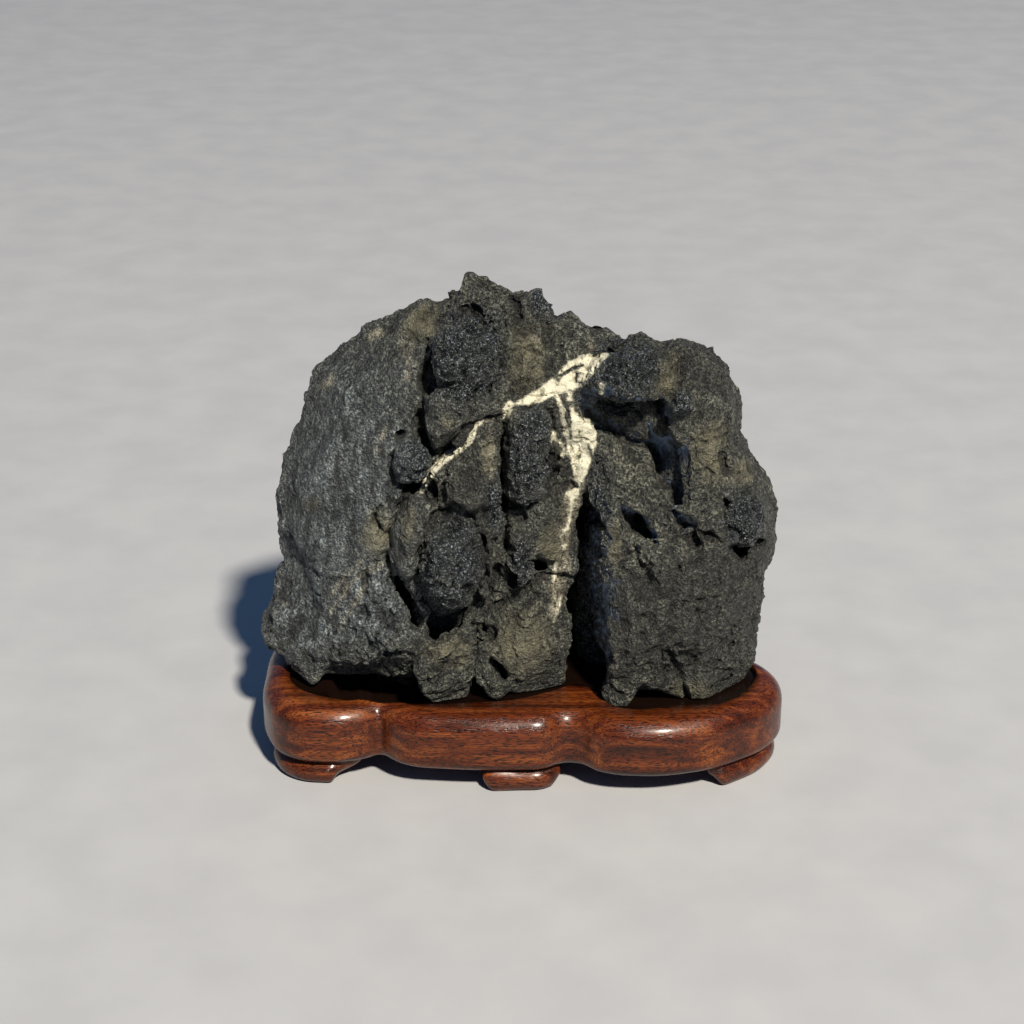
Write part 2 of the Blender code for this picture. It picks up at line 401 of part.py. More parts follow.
# Narrow creases pressed into the face: half width, depth, then the line as (across, up), all in millimetres
CREASES = [
    (1.0, 2.5, [(-11.4, 46.0), (-11.8, 43.0), (-11.4, 39.6)]),
    (1.3, 4.0, [(-16.2, 34.0), (-16.2, 31.0), (-17.2, 27.5), (-18.4, 25.0), (-17.8, 20.0)]),
    (1.3, 4.0, [(-17.8, 20.0), (-18.6, 17.0), (-16.2, 12.0)]),
    (1.0, 2.5, [(-22.4, 15.2), (-24.2, 10.0), (-23.2, 5.4), (-20.4, 4.6), (-17.8, 5.4), (-16.0, 9.4)]),
    (1.3, 2.5, [(-27.0, 0.4), (-27.4, -2.0), (-26.2, -4.0)]),
    (1.0, 1.5, [(-24.6, 2.2), (-24.8, 0.2)]),
    (1.5, 3.5, [(-20.6, 4.0), (-22.4, 0.0), (-24.4, -4.0), (-24.8, -9.0), (-24.2, -13.0)]),
    (1.0, 2.5, [(-17.2, 3.6), (-15.6, 1.6), (-14.2, 0.0), (-13.8, 5.0)]),
    (1.1, 3.0, [(-12.0, 0.6), (-15.6, -1.2), (-18.0, -6.0), (-18.6, -12.0), (-17.8, -17.0), (-15.6, -20.8)]),
    (1.1, 2.5, [(-12.0, 0.6), (-9.0, -0.6), (-6.4, -5.0), (-5.8, -12.0), (-7.4, -17.6), (-10.0, -20.4)]),
    (1.3, 5.0, [(-1.0, 19.6), (-1.4, 14.0), (-2.0, 8.0), (-1.9, 2.0), (-1.2, -3.0), (-0.8, -9.0), (0.2, -14.0)]),
    (1.0, 2.0, [(-3.0, -11.0), (-3.8, -14.4), (-4.6, -18.0)]),
    (1.0, 2.2, [(7.2, 20.0), (8.4, 15.0), (8.2, 9.0), (7.0, 4.0), (3.0, 0.2), (-0.8, 1.6)]),
    (0.9, 1.5, [(13.0, 5.6), (9.0, 4.4), (6.0, 2.6)]),
    (1.1, 1.8, [(27.2, 34.6), (28.6, 30.6), (28.8, 26.0), (29.6, 22.0), (31.4, 17.4)]),
    (1.4, 2.2, [(3.6, 32.8), (5.4, 31.4)]),
    (1.0, 2.0, [(0.6, 42.4), (1.2, 38.6)]),
    (1.4, 2.0, [(8.2, 38.4), (7.4, 34.6)]),
    (1.1, 1.6, [(17.0, 37.0), (16.0, 33.6)]),
    (1.2, 2.0, [(21.8, 34.8), (19.6, 32.2), (16.0, 29.8), (14.8, 26.0)]),
    (1.2, 2.0, [(-14.8, 35.6), (-12.6, 40.0), (-8.0, 40.2), (-3.2, 35.6), (-2.6, 28.0), (-4.0, 24.6)]),
    (1.0, 2.0, [(-4.6, 24.6), (-10.0, 23.8), (-15.2, 24.8)]),
    (1.0, 1.8, [(-2.2, 19.6), (-8.4, 17.0), (-14.8, 10.4)]),
    (1.3, 3.0, [(43.0, 1.8), (42.8, -1.6), (44.6, -4.4), (47.0, -8.0), (50.0, -6.6)]),
    (1.0, 1.6, [(42.6, 11.0), (43.4, 8.2), (45.2, 7.6)]),
    (1.0, 1.6, [(45.2, 11.4), (47.2, 9.6)]),
    (1.0, 2.5, [(21.6, 1.8), (23.2, -2.0), (24.6, -5.6), (28.6, -6.6)]),
    (1.0, 3.5, [(32.4, -0.4), (35.0, -4.0), (37.2, -7.0)]),
    (0.9, 2.5, [(37.8, -4.4), (41.4, -5.6)]),
    (0.9, 1.2, [(24.6, -6.0), (25.4, -9.6), (27.6, -14.0)]),
    (1.2, 1.6, [(33.8, -11.0), (33.9, -11.9)]),
    (1.0, 2.0, [(31.4, -27.4), (33.4, -32.0), (35.0, -37.0)]),
    (1.0, 1.8, [(-4.4, -19.4), (0.0, -17.6), (3.0, -15.0), (6.0, -12.6), (11.6, -13.0)]),
    (1.0, 1.5, [(-29.6, -13.0), (-29.2, -20.0), (-29.8, -24.0), (-27.6, -27.4)]),
    (1.0, 1.5, [(-25.0, -28.2), (-21.2, -28.8), (-19.2, -31.0)]),
    (0.9, 1.2, [(-16.6, -32.0), (-12.0, -30.6), (-8.0, -28.4)]),
    (0.9, 1.2, [(-17.4, -34.6), (-13.0, -33.4), (-8.6, -31.6)]),
    (1.3, 3.0, [(-7.2, -27.0), (-7.8, -33.0), (-8.0, -39.0)]),
    (1.0, 2.0, [(-45.2, -8.6), (-41.0, -9.8), (-37.4, -10.2)]),
]

STONE_COLOUR = (0.055, 0.053, 0.048, 1.0)
WOOD_COLOUR = (0.16, 0.04, 0.018, 1.0)


def clear_scene():
    for thing in list(bpy.data.objects):
        bpy.data.objects.remove(thing, do_unlink=True)


def new_collection(name, hidden=False):
    collection = bpy.data.collections.new(name)
    collection.hide_render = hidden
    bpy.context.scene.collection.children.link(collection)
    return collection


def material(name, colour, roughness):
    made = bpy.data.materials.new(name)
    made.use_nodes = True
    shader = made.node_tree.nodes["Principled BSDF"]
    shader.inputs["Base Color"].default_value = colour
    shader.inputs["Roughness"].default_value = roughness
    shader.inputs["Metallic"].default_value = 0.0
    made.diffuse_color = colour
    return made


def object_from(bm, name, collection):
    mesh = bpy.data.meshes.new(name)
    bm.to_mesh(mesh)
    bm.free()
    made = bpy.data.objects.new(name, mesh)
    collection.objects.link(made)
    return made


def baked(thing):
    """Applies the object's modifiers by taking its evaluated mesh."""
    bpy.context.view_layer.update()
    graph = bpy.context.evaluated_depsgraph_get()
    mesh = bpy.data.meshes.new_from_object(thing.evaluated_get(graph))
    thing.modifiers.clear()
    old = thing.data
    thing.data = mesh
    bpy.data.meshes.remove(old)
    mesh.name = thing.name


def boolean(thing, other, operation):
    modifier = thing.modifiers.new(operation.lower(), "BOOLEAN")
    modifier.operation = operation
    modifier.solver = "EXACT"
    modifier.object = other
    return modifier


def as_cutter(thing):
    thing.hide_render = True
    thing.display_type = "WIRE"
    return thing


def placed(across, up, depth):
    """The point in space, in metres, of a point on the drawing at a depth along Y."""
    rise, fall = math.sin(EYE_RISE), math.cos(EYE_RISE)
    behind = depth - DRAWING_CENTRE[1]
    height = up * (EYE_DISTANCE + behind * fall) - EYE_DISTANCE * behind * rise
    height /= EYE_DISTANCE * fall + up * rise
    nearer = height * rise - behind * fall
    sideways = across * (EYE_DISTANCE - nearer) / EYE_DISTANCE
    return Vector((DRAWING_CENTRE[0] + sideways, depth, DRAWING_CENTRE[2] + height)) * MM


def drawn(position):
    """Where a point in space lies on the drawing: millimetres across and up."""
    rise, fall = math.sin(EYE_RISE), math.cos(EYE_RISE)
    from_centre = position / MM - Vector(DRAWING_CENTRE)
    nearer = from_centre.z * rise - from_centre.y * fall
    scale = EYE_DISTANCE / (EYE_DISTANCE - nearer)
    return Vector((from_centre.x, from_centre.z * fall + from_centre.y * rise)) * scale


def add_hull(bm, points):
    """Adds the smallest convex body round the drawing points."""
    corners = [bm.verts.new(placed(*point)) for point in points]
    made = bmesh.ops.convex_hull(bm, input=corners)
    inside = {item for item in made["geom_interior"] if isinstance(item, bmesh.types.BMVert)}
    bmesh.ops.delete(bm, geom=list(inside), context="VERTS")


def add_lump(bm, centre, half_sizes, lean):
    """Adds an egg-shaped lump, leaning in the plane that faces the eye."""
    turn = Matrix.Rotation(math.radians(lean), 4, "Y")
    size = Matrix.Diagonal((*(length * MM for length in half_sizes), 1.0))
    bmesh.ops.create_icosphere(
        bm, subdivisions=3, radius=1.0, matrix=Matrix.Translation(placed(*centre)) @ turn @ size
    )


def keep_largest_shell(mesh):
    """Deletes every loose shell but the one with the most faces."""
    bm = bmesh.new()
    bm.from_mesh(mesh)
    bm.faces.ensure_lookup_table()
    unseen = set(bm.faces)
    shells = []
    while unseen:
        shell = {unseen.pop()}
        edge_of_shell = list(shell)
        while edge_of_shell:
            face = edge_of_shell.pop()
            near = {other for edge in face.edges for other in edge.link_faces} & unseen
            unseen -= near
            shell |= near
            edge_of_shell.extend(near)
        shells.append(shell)
    shells.sort(key=len)
    for shell in shells[:-1]:
        bmesh.ops.delete(bm, geom=list(shell), context="FACES")
    bm.to_mesh(mesh)
    bm.free()


def distance_to_line(point, line):
    """Distance on the drawing from a point to the nearest stretch of a line."""
    nearest = math.inf
    for start, end in zip(line, line[1:]):
        on_line, share = geometry.intersect_point_line(point, start, end)
        on_line = (start, end)[share > 0.5] if not 0.0 <= share <= 1.0 else Vector(on_line)
        nearest = min(nearest, (point - on_line.to_2d()).length)
    return nearest


def press_creases(mesh):
    """Pushes the face back along each crease, most at its middle."""
    facing = [vertex for vertex in mesh.vertices if vertex.normal.y < FACING]
    places = [drawn(vertex.co) for vertex in facing]
    pushes = [0.0] * len(facing)
    for half_width, depth, corners in CREASES:
        line = [Vector(corner) for corner in corners]
        left = min(corner.x for corner in line) - half_width
        right = max(corner.x for corner in line) + half_width
        lowest = min(corner.y for corner in line) - half_width
        highest = max(corner.y for corner in line) + half_width
        for index, place in enumerate(places):
            if left < place.x < right and lowest < place.y < highest:
                share = 1.0 - distance_to_line(place, line) / half_width
                pushes[index] = max(pushes[index], depth * max(share, 0.0))
    for vertex, push in zip(facing, pushes):
        vertex.co.y += push * MM


def roughen(mesh):
    """Moves each point along its normal by two sizes of seeded noise: broad lumps, and sharper chips."""
    shifts = []
    for vertex in mesh.vertices:
        lumps = noise.noise(vertex.co / LUMP_NOISE_LENGTH)
        chips = 0.5 - noise.voronoi(vertex.co / CHIP_NOISE_LENGTH)[0][0]
        shifts.append(vertex.normal * (LUMP_NOISE * lumps + CHIP_NOISE * chips))
    for vertex, shift in zip(mesh.vertices, shifts):
        vertex.co += shift


def make_outline(points):
    """A closed Bezier curve through the plan points, sharp at the cusps, as a list of plan positions in metres."""
    curve = bpy.data.curves.new("outline", "CURVE")
    curve.dimensions = "2D"
    curve.resolution_u = OUTLINE_STEPS
    spline = curve.splines.new("BEZIER")
    spline.bezier_points.add(len(points) - 1)
    spline.use_cyclic_u = True
    for bezier, point in zip(spline.bezier_points, points):
        bezier.co = (point[0] * MM, point[1] * MM, 0.0)
        kind = "VECTOR" if point[2:] == ("cusp",) else "AUTO"
        bezier.handle_left_type = kind
        bezier.handle_right_type = kind
    guide = bpy.data.objects.new("outline", curve)
    bpy.context.scene.collection.objects.link(guide)
    bpy.context.view_layer.update()
    mesh = bpy.data.meshes.new_from_object(guide.evaluated_get(bpy.context.evaluated_depsgraph_get()))
    positions = [vertex.co.to_2d() for vertex in mesh.vertices]
    bpy.data.objects.remove(guide, do_unlink=True)
    bpy.data.meshes.remove(mesh)
    return positions


def inset(positions, distance):
    """The outline moved inwards by a distance, point by point."""
    moved = []
    count = len(positions)
    for index, here in enumerate(positions):
        along = (positions[(index + 1) % count] - positions[index - 1]).normalized()
        moved.append(here + Vector((-along.y, along.x)) * distance)
    return moved


def slab(name, positions, bottom, top, collection):
    """A flat body with the given outline between two heights."""
    bm = bmesh.new()
    base = bm.faces.new([bm.verts.new((here.x, here.y, bottom)) for here in positions])
    made = bmesh.ops.extrude_face_region(bm, geom=[base])
    raised = [item for item in made["geom"] if isinstance(item, bmesh.types.BMVert)]
    bmesh.ops.translate(bm, verts=raised, vec=(0.0, 0.0, top - bottom))
    bmesh.ops.recalc_face_normals(bm, faces=bm.faces)
    return object_from(bm, name, collection)


def leaning_block(name, limits, lean, bottom, top, collection):
    """A block with plan limits at its top and sides that lean inwards by its bottom, both in millimetres."""
    left, right, front, back = (limit * MM for limit in limits)
    bm = bmesh.new()
    centre = Vector((left + right, front + back, bottom + top)) / 2
    size = Matrix.Diagonal((right - left, back - front, top - bottom, 1.0))
    bmesh.ops.create_cube(bm, size=1.0, matrix=Matrix.Translation(centre) @ size)
    for corner in bm.verts:
        if corner.co.z < centre.z:
            corner.co.x += math.copysign(lean * MM, centre.x - corner.co.x)
            corner.co.y += math.copysign(lean * MM, centre.y - corner.co.y)
    return object_from(bm, name, collection)


def round_edges(thing, heights, width, segments):
    """Rounds the level edges that lie at the given heights."""
    bm = bmesh.new()
    bm.from_mesh(thing.data)
    edges = [
        edge
        for edge in bm.edges
        if any(all(abs(end.co.z - height) < GAP / 10 for end in edge.verts) for height in heights)
        and len(edge.link_faces) == 2
        and edge.calc_face_angle(0.0) > SHARP_ANGLE
    ]
    bmesh.ops.bevel(
        bm, geom=edges, offset=width, segments=segments, profile=0.5, affect="EDGES", clamp_overlap=True
    )
    bm.to_mesh(thing.data)
    bm.free()


def make_stand(parts, cutters):
    """One carved block: a lobed body with rounded edges, a shallow seat and six low feet."""
    outline = make_outline(STAND_OUTLINE)
    stand = slab("stand", outline, FOOT_HEIGHT, STAND_TOP, parts)
    round_edges(stand, [STAND_TOP], TOP_ROUNDING, 5)
    round_edges(stand, [FOOT_HEIGHT], LOWER_ROUNDING, 3)
    for name, (limits, lean) in FEET.items():
        foot_top = FOOT_HEIGHT + FOOT_OVERLAP
        foot = slab(f"foot_{name}", inset(outline, FOOT_INSET), 0.0, foot_top, cutters)
        keep = leaning_block(f"keep_{name}", limits, lean, -GAP, foot_top + GAP, cutters)
        boolean(foot, as_cutter(keep), "INTERSECT")
        baked(foot)
        round_edges(foot, [0.0], FOOT_ROUNDING, 1)
        boolean(stand, as_cutter(foot), "UNION")
    seat = slab("seat_cutter", make_outline(SEAT_OUTLINE), SEAT_FLOOR, 2 * STAND_TOP, cutters)
    boolean(stand, as_cutter(seat), "DIFFERENCE")
    stand.data.materials.append(material("rosewood", WOOD_COLOUR, 0.35))
    return stand


def make_stone(parts, cutters):
    """The masses and lumps joined into one body, with the clefts cut, roughened, and trimmed to the seat."""
    bm = bmesh.new()
    for points in MASSES.values():
        add_hull(bm, points)
    for centre, half_sizes, lean in LUMPS.values():
        add_lump(bm, centre, half_sizes, lean)
    stone = object_from(bm, "stone", parts)
    remesh = stone.modifiers.new("join", "REMESH")
    remesh.mode = "VOXEL"
    remesh.voxel_size = VOXEL
    for name, points in CLEFTS.items():
        bm = bmesh.new()
        add_hull(bm, points)
        boolean(stone, as_cutter(object_from(bm, name, cutters)), "DIFFERENCE")
    baked(stone)
    remesh = stone.modifiers.new("even", "REMESH")
    remesh.mode = "VOXEL"
    remesh.voxel_size = VOXEL
    soften = stone.modifiers.new("soften", "SMOOTH")
    soften.factor = 0.5
    soften.iterations = 2
    baked(stone)
    keep_largest_shell(stone.data)
    press_creases(stone.data)
    roughen(stone.data)
    thin = stone.modifiers.new("thin", "DECIMATE")
    thin.ratio = STONE_FACES / (2 * len(stone.data.polygons))
    baked(stone)
    rim = slab("rim_cutter", make_outline(STAND_OUTLINE), -STAND_TOP, STAND_TOP + GAP, cutters)
    bare = slab("seat_room", inset(make_outline(SEAT_OUTLINE), GAP), SEAT_FLOOR + GAP, 2 * STAND_TOP, cutters)
    boolean(rim, as_cutter(bare), "DIFFERENCE")
    baked(as_cutter(rim))
    boolean(stone, rim, "DIFFERENCE")
    baked(stone)
    keep_largest_shell(stone.data)
    stone.data.materials.append(material("dark_stone", STONE_COLOUR, 0.6))
    return stone


def main():
    clear_scene()
    parts = new_collection("scholars_rock")
    cutters = new_collection("cutters", hidden=True)
    make_stand(parts, cutters)
    make_stone(parts, cutters)


main()
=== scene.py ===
import math
from functools import partial

import bmesh
import bpy
import numpy as np
from mathutils import Matrix, Vector, noise


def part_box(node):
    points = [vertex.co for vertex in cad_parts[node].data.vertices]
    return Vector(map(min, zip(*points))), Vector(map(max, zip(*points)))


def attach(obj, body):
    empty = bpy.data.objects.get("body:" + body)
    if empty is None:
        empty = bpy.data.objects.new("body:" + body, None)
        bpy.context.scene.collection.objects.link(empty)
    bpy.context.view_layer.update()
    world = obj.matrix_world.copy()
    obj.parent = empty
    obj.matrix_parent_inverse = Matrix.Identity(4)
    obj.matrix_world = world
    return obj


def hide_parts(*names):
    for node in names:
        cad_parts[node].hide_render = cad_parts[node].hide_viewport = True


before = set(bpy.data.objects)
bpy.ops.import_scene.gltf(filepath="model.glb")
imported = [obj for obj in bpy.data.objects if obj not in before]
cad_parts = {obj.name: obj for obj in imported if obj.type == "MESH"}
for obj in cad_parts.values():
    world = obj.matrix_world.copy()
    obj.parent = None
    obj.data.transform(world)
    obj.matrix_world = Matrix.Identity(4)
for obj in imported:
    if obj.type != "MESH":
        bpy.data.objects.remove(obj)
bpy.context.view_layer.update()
noise.seed_set(2)  # noise vectors shift with the seed, so it is fixed
print("frame loaded")

mm = 0.001

# the eye: in front, 24 degrees up. The stone is laid out as it is seen from here
eye = {
    "rise": math.radians(24.0),
    "distance": 450.0,  # mm
    "target": (-2.4, 1.5, 49.6),  # mm
    "frameWidth": 204.8,  # mm at the target
    "sensor": 36.0,
}


def linear(hexColour):
    # sRGB hex to a linear colour with alpha
    parts = [int(hexColour[i:i + 2], 16) / 255 for i in (1, 3, 5)]
    return tuple(p / 12.92 if p <= 0.04045 else ((p + 0.055) / 1.055) ** 2.4 for p in parts) + (1.0,)


def setSockets(node, sockets):
    # sockets by name, or in order those in use, take a number, a colour as hex or another node's output.
    # the order is: noise and cells vector, scale, detail, roughness, lacunarity, distortion; map range value,
    # from, from, to, to; mix share, first, second
    used = [socket for socket in node.inputs if socket.enabled]
    for name, value in sockets.items() if isinstance(sockets, dict) else enumerate(sockets):
        socket = node.inputs[name] if isinstance(name, str) else used[name]
        if isinstance(value, bpy.types.NodeSocket):
            node.id_data.links.new(value, socket)
        else:
            socket.default_value = linear(value) if isinstance(value, str) else value


def addNode(tree, kind, sockets=(), stops=(), **settings):
    # one node with its settings, its sockets and a ramp's stops (position, colour); gives its first output
    made = tree.nodes.new("ShaderNode" + kind)
    for name, value in settings.items():
        setattr(made, name, value)
    setSockets(made, sockets)
    for index, (position, colour) in enumerate(stops):
        ramp = made.color_ramp.elements
        # a new ramp has two stops, at 0 and 1
        stop = ramp[index] if index < 2 else ramp.new(position)
        stop.position = position
        stop.color = linear(colour)
    return next(output for output in made.outputs if output.enabled)


# drawing and space

def placed(across, up, depth):
    # the point in space, in metres, of a point on the drawing (mm) at a depth along Y (mm)
    rise, fall = math.sin(eye["rise"]), math.cos(eye["rise"])
    behind = depth - eye["target"][1]
    height = up * (eye["distance"] + behind * fall) - eye["distance"] * behind * rise
    height /= eye["distance"] * fall + up * rise
    nearer = height * rise - behind * fall
    sideways = across * (eye["distance"] - nearer) / eye["distance"]
    return Vector((eye["target"][0] + sideways, depth, eye["target"][2] + height)) * mm


def drawnAll(points):
    # where points in space (n x 3, metres) lie on the drawing: millimetres across and up
    rise, fall = math.sin(eye["rise"]), math.cos(eye["rise"])
    off = points / mm - np.array(eye["target"])
    nearer = off[:, 2] * rise - off[:, 1] * fall
    scale = eye["distance"] / (eye["distance"] - nearer)
    return np.stack([off[:, 0] * scale, (off[:, 2] * fall + off[:, 1] * rise) * scale], axis=1)


# helpers for shapes

def objectFrom(bm, name):
    mesh = bpy.data.meshes.new(name)
    bm.to_mesh(mesh)
    bm.free()
    mesh.shade_flat()
    made = bpy.data.objects.new(name, mesh)
    bpy.context.scene.collection.objects.link(made)
    return made


def addModifier(thing, kind, settings):
    modifier = thing.modifiers.new(kind.lower(), kind)
    for name, value in settings.items():
        setattr(modifier, name, value)
    return modifier


def bake(thing):
    # applies the modifiers by taking the evaluated mesh
    bpy.context.view_layer.update()
    graph = bpy.context.evaluated_depsgraph_get()
    mesh = bpy.data.meshes.new_from_object(thing.evaluated_get(graph))
    thing.modifiers.clear()
    old = thing.data
    thing.data = mesh
    bpy.data.meshes.remove(old)
    mesh.name = thing.name


def cutWith(thing, cutters, operation="DIFFERENCE"):
    # one Boolean for each cutter, then the cutters go
    for cutter in cutters:
        addModifier(thing, "BOOLEAN", {"operation": operation, "solver": "EXACT", "object": cutter})
    bake(thing)
    for cutter in cutters:
        bpy.data.objects.remove(cutter, do_unlink=True)


def addHull(bm, points):
    # the smallest convex body round the drawing points
    corners = [bm.verts.new(placed(*point)) for point in points]
    made = bmesh.ops.convex_hull(bm, input=corners)
    inside = {item for item in made["geom_interior"] if isinstance(item, bmesh.types.BMVert)}
    bmesh.ops.delete(bm, geom=list(inside), context="VERTS")


def keepLargestShell(mesh):
    bm = bmesh.new()
    bm.from_mesh(mesh)
    unseen = set(bm.faces)
    shells = []
    while unseen:
        shell = {unseen.pop()}
        growing = list(shell)
        while growing:
            face = growing.pop()
            near = {other for edge in face.edges for other in edge.link_faces} & unseen
            unseen -= near
            shell |= near
            growing.extend(near)
        shells.append(shell)
    shells.sort(key=len)
    for shell in shells[:-1]:
        bmesh.ops.delete(bm, geom=list(shell), context="FACES")
    bm.to_mesh(mesh)
    bm.free()


def inTriangles(mesh, corners):
    # cuts the faces with more corners than this into triangles, so that none fold onto each other
    bm = bmesh.new()
    bm.from_mesh(mesh)
    bmesh.ops.triangulate(bm, faces=[face for face in bm.faces if len(face.verts) > corners])
    bmesh.ops.remove_doubles(bm, verts=bm.verts, dist=1e-7)
    bm.to_mesh(mesh)
    bm.free()


def outlinePoints(points, steps):
    # a closed Bezier curve through the plan points, sharp at the cusps, as n x 2 in metres
    curve = bpy.data.curves.new("outline", "CURVE")
    curve.dimensions = "2D"
    curve.resolution_u = steps
    spline = curve.splines.new("BEZIER")
    spline.bezier_points.add(len(points) - 1)
    spline.use_cyclic_u = True
    for bezier, point in zip(spline.bezier_points, points):
        bezier.co = (point[0] * mm, point[1] * mm, 0.0)
        kind = "VECTOR" if point[2:] == ("cusp",) else "AUTO"
        bezier.handle_left_type = kind
        bezier.handle_right_type = kind
    guide = bpy.data.objects.new("outline", curve)
    bpy.context.scene.collection.objects.link(guide)
    bpy.context.view_layer.update()
    mesh = bpy.data.meshes.new_from_object(guide.evaluated_get(bpy.context.evaluated_depsgraph_get()))
    positions = np.array([vertex.co[:2] for vertex in mesh.vertices])
    bpy.data.objects.remove(guide, do_unlink=True)
    bpy.data.meshes.remove(mesh)
    return positions


def resampled(loop, spacing):
    # a closed loop with even spacing
    closed = np.vstack([loop, loop[:1]])
    along = np.concatenate([[0.0], np.cumsum(np.linalg.norm(np.diff(closed, axis=0), axis=1))])
    count = int(along[-1] / spacing)
    places = np.arange(count) * along[-1] / count
    return np.stack([np.interp(places, along, closed[:, axis]) for axis in (0, 1)], axis=1)


def inset(loop, distance):
    # the loop, anticlockwise, moved inwards along its own normals
    along = np.roll(loop, -1, axis=0) - np.roll(loop, 1, axis=0)
    along /= np.linalg.norm(along, axis=1)[:, None]
    return loop + np.stack([-along[:, 1], along[:, 0]], axis=1) * distance


def slab(name, loop, bottom, top):
    bm = bmesh.new()
    base = bm.faces.new([bm.verts.new((x, y, bottom)) for x, y in loop])
    made = bmesh.ops.extrude_face_region(bm, geom=[base])
    raised = [item for item in made["geom"] if isinstance(item, bmesh.types.BMVert)]
    bmesh.ops.translate(bm, verts=raised, vec=(0.0, 0.0, top - bottom))
    bmesh.ops.recalc_face_normals(bm, faces=bm.faces)
    return objectFrom(bm, name)


def blurred(values, edges, rounds):
    # values averaged with those of the neighbours along the mesh's edges
    degree = np.bincount(edges.ravel(), minlength=len(values)).astype(float)
    for _ in range(rounds):
        total = np.bincount(edges[:, 0], values[edges[:, 1]], len(values))
        total += np.bincount(edges[:, 1], values[edges[:, 0]], len(values))
        values = 0.5 * values + 0.5 * total / np.maximum(degree, 1.0)
    return values


def meshArrays(mesh):
    points = np.empty(len(mesh.vertices) * 3)
    normals = np.empty(len(mesh.vertices) * 3)
    edges = np.empty(len(mesh.edges) * 2, dtype=np.int64)
    mesh.vertices.foreach_get("co", points)
    mesh.vertices.foreach_get("normal", normals)
    mesh.edges.foreach_get("vertices", edges)
    return points.reshape(-1, 3), normals.reshape(-1, 3), edges.reshape(-1, 2)


def movePoints(mesh, points):
    mesh.vertices.foreach_set("co", points.ravel())
    mesh.update()


def paint(mesh, name, values):
    attribute = mesh.attributes.new(name, "FLOAT", "POINT")
    attribute.data.foreach_set("value", np.asarray(values, dtype=np.float32))


def inside(places, ovals, soft=0.35):
    # 1 inside the ovals on the drawing, fading to 0 over a soft border.
    # an oval is (across, up, half width, half height, lean clockwise in degrees)
    mask = np.zeros(len(places))
    for across, up, halfWidth, halfHeight, lean in ovals:
        turn = math.radians(lean)
        x, y = places[:, 0] - across, places[:, 1] - up
        u = (x * math.cos(turn) - y * math.sin(turn)) / halfWidth
        v = (x * math.sin(turn) + y * math.cos(turn)) / halfHeight
        mask = np.maximum(mask, np.clip((1.0 + soft - np.hypot(u, v)) / (2 * soft), 0.0, 1.0))
    return mask


def strandDepth(places, strand, reach=4.0):
    # how far inside a strand of changing width each place is, in mm; outside it is negative, down to -reach.
    # a strand is a list of (across, up, half width)
    depth = np.full(len(places), -reach)
    for start, end in zip(strand, strand[1:]):
        a, b = np.array(start[:2]), np.array(end[:2])
        share = np.clip((places - a) @ (b - a) / max((b - a) @ (b - a), 1e-9), 0.0, 1.0)
        gap = np.linalg.norm(places - (a + share[:, None] * (b - a)), axis=1)
        depth = np.maximum(depth, start[2] + share * (end[2] - start[2]) - gap)
    return depth


# the stone: one piece of dark granular rock, its masses joined, its clefts cut, then weathered

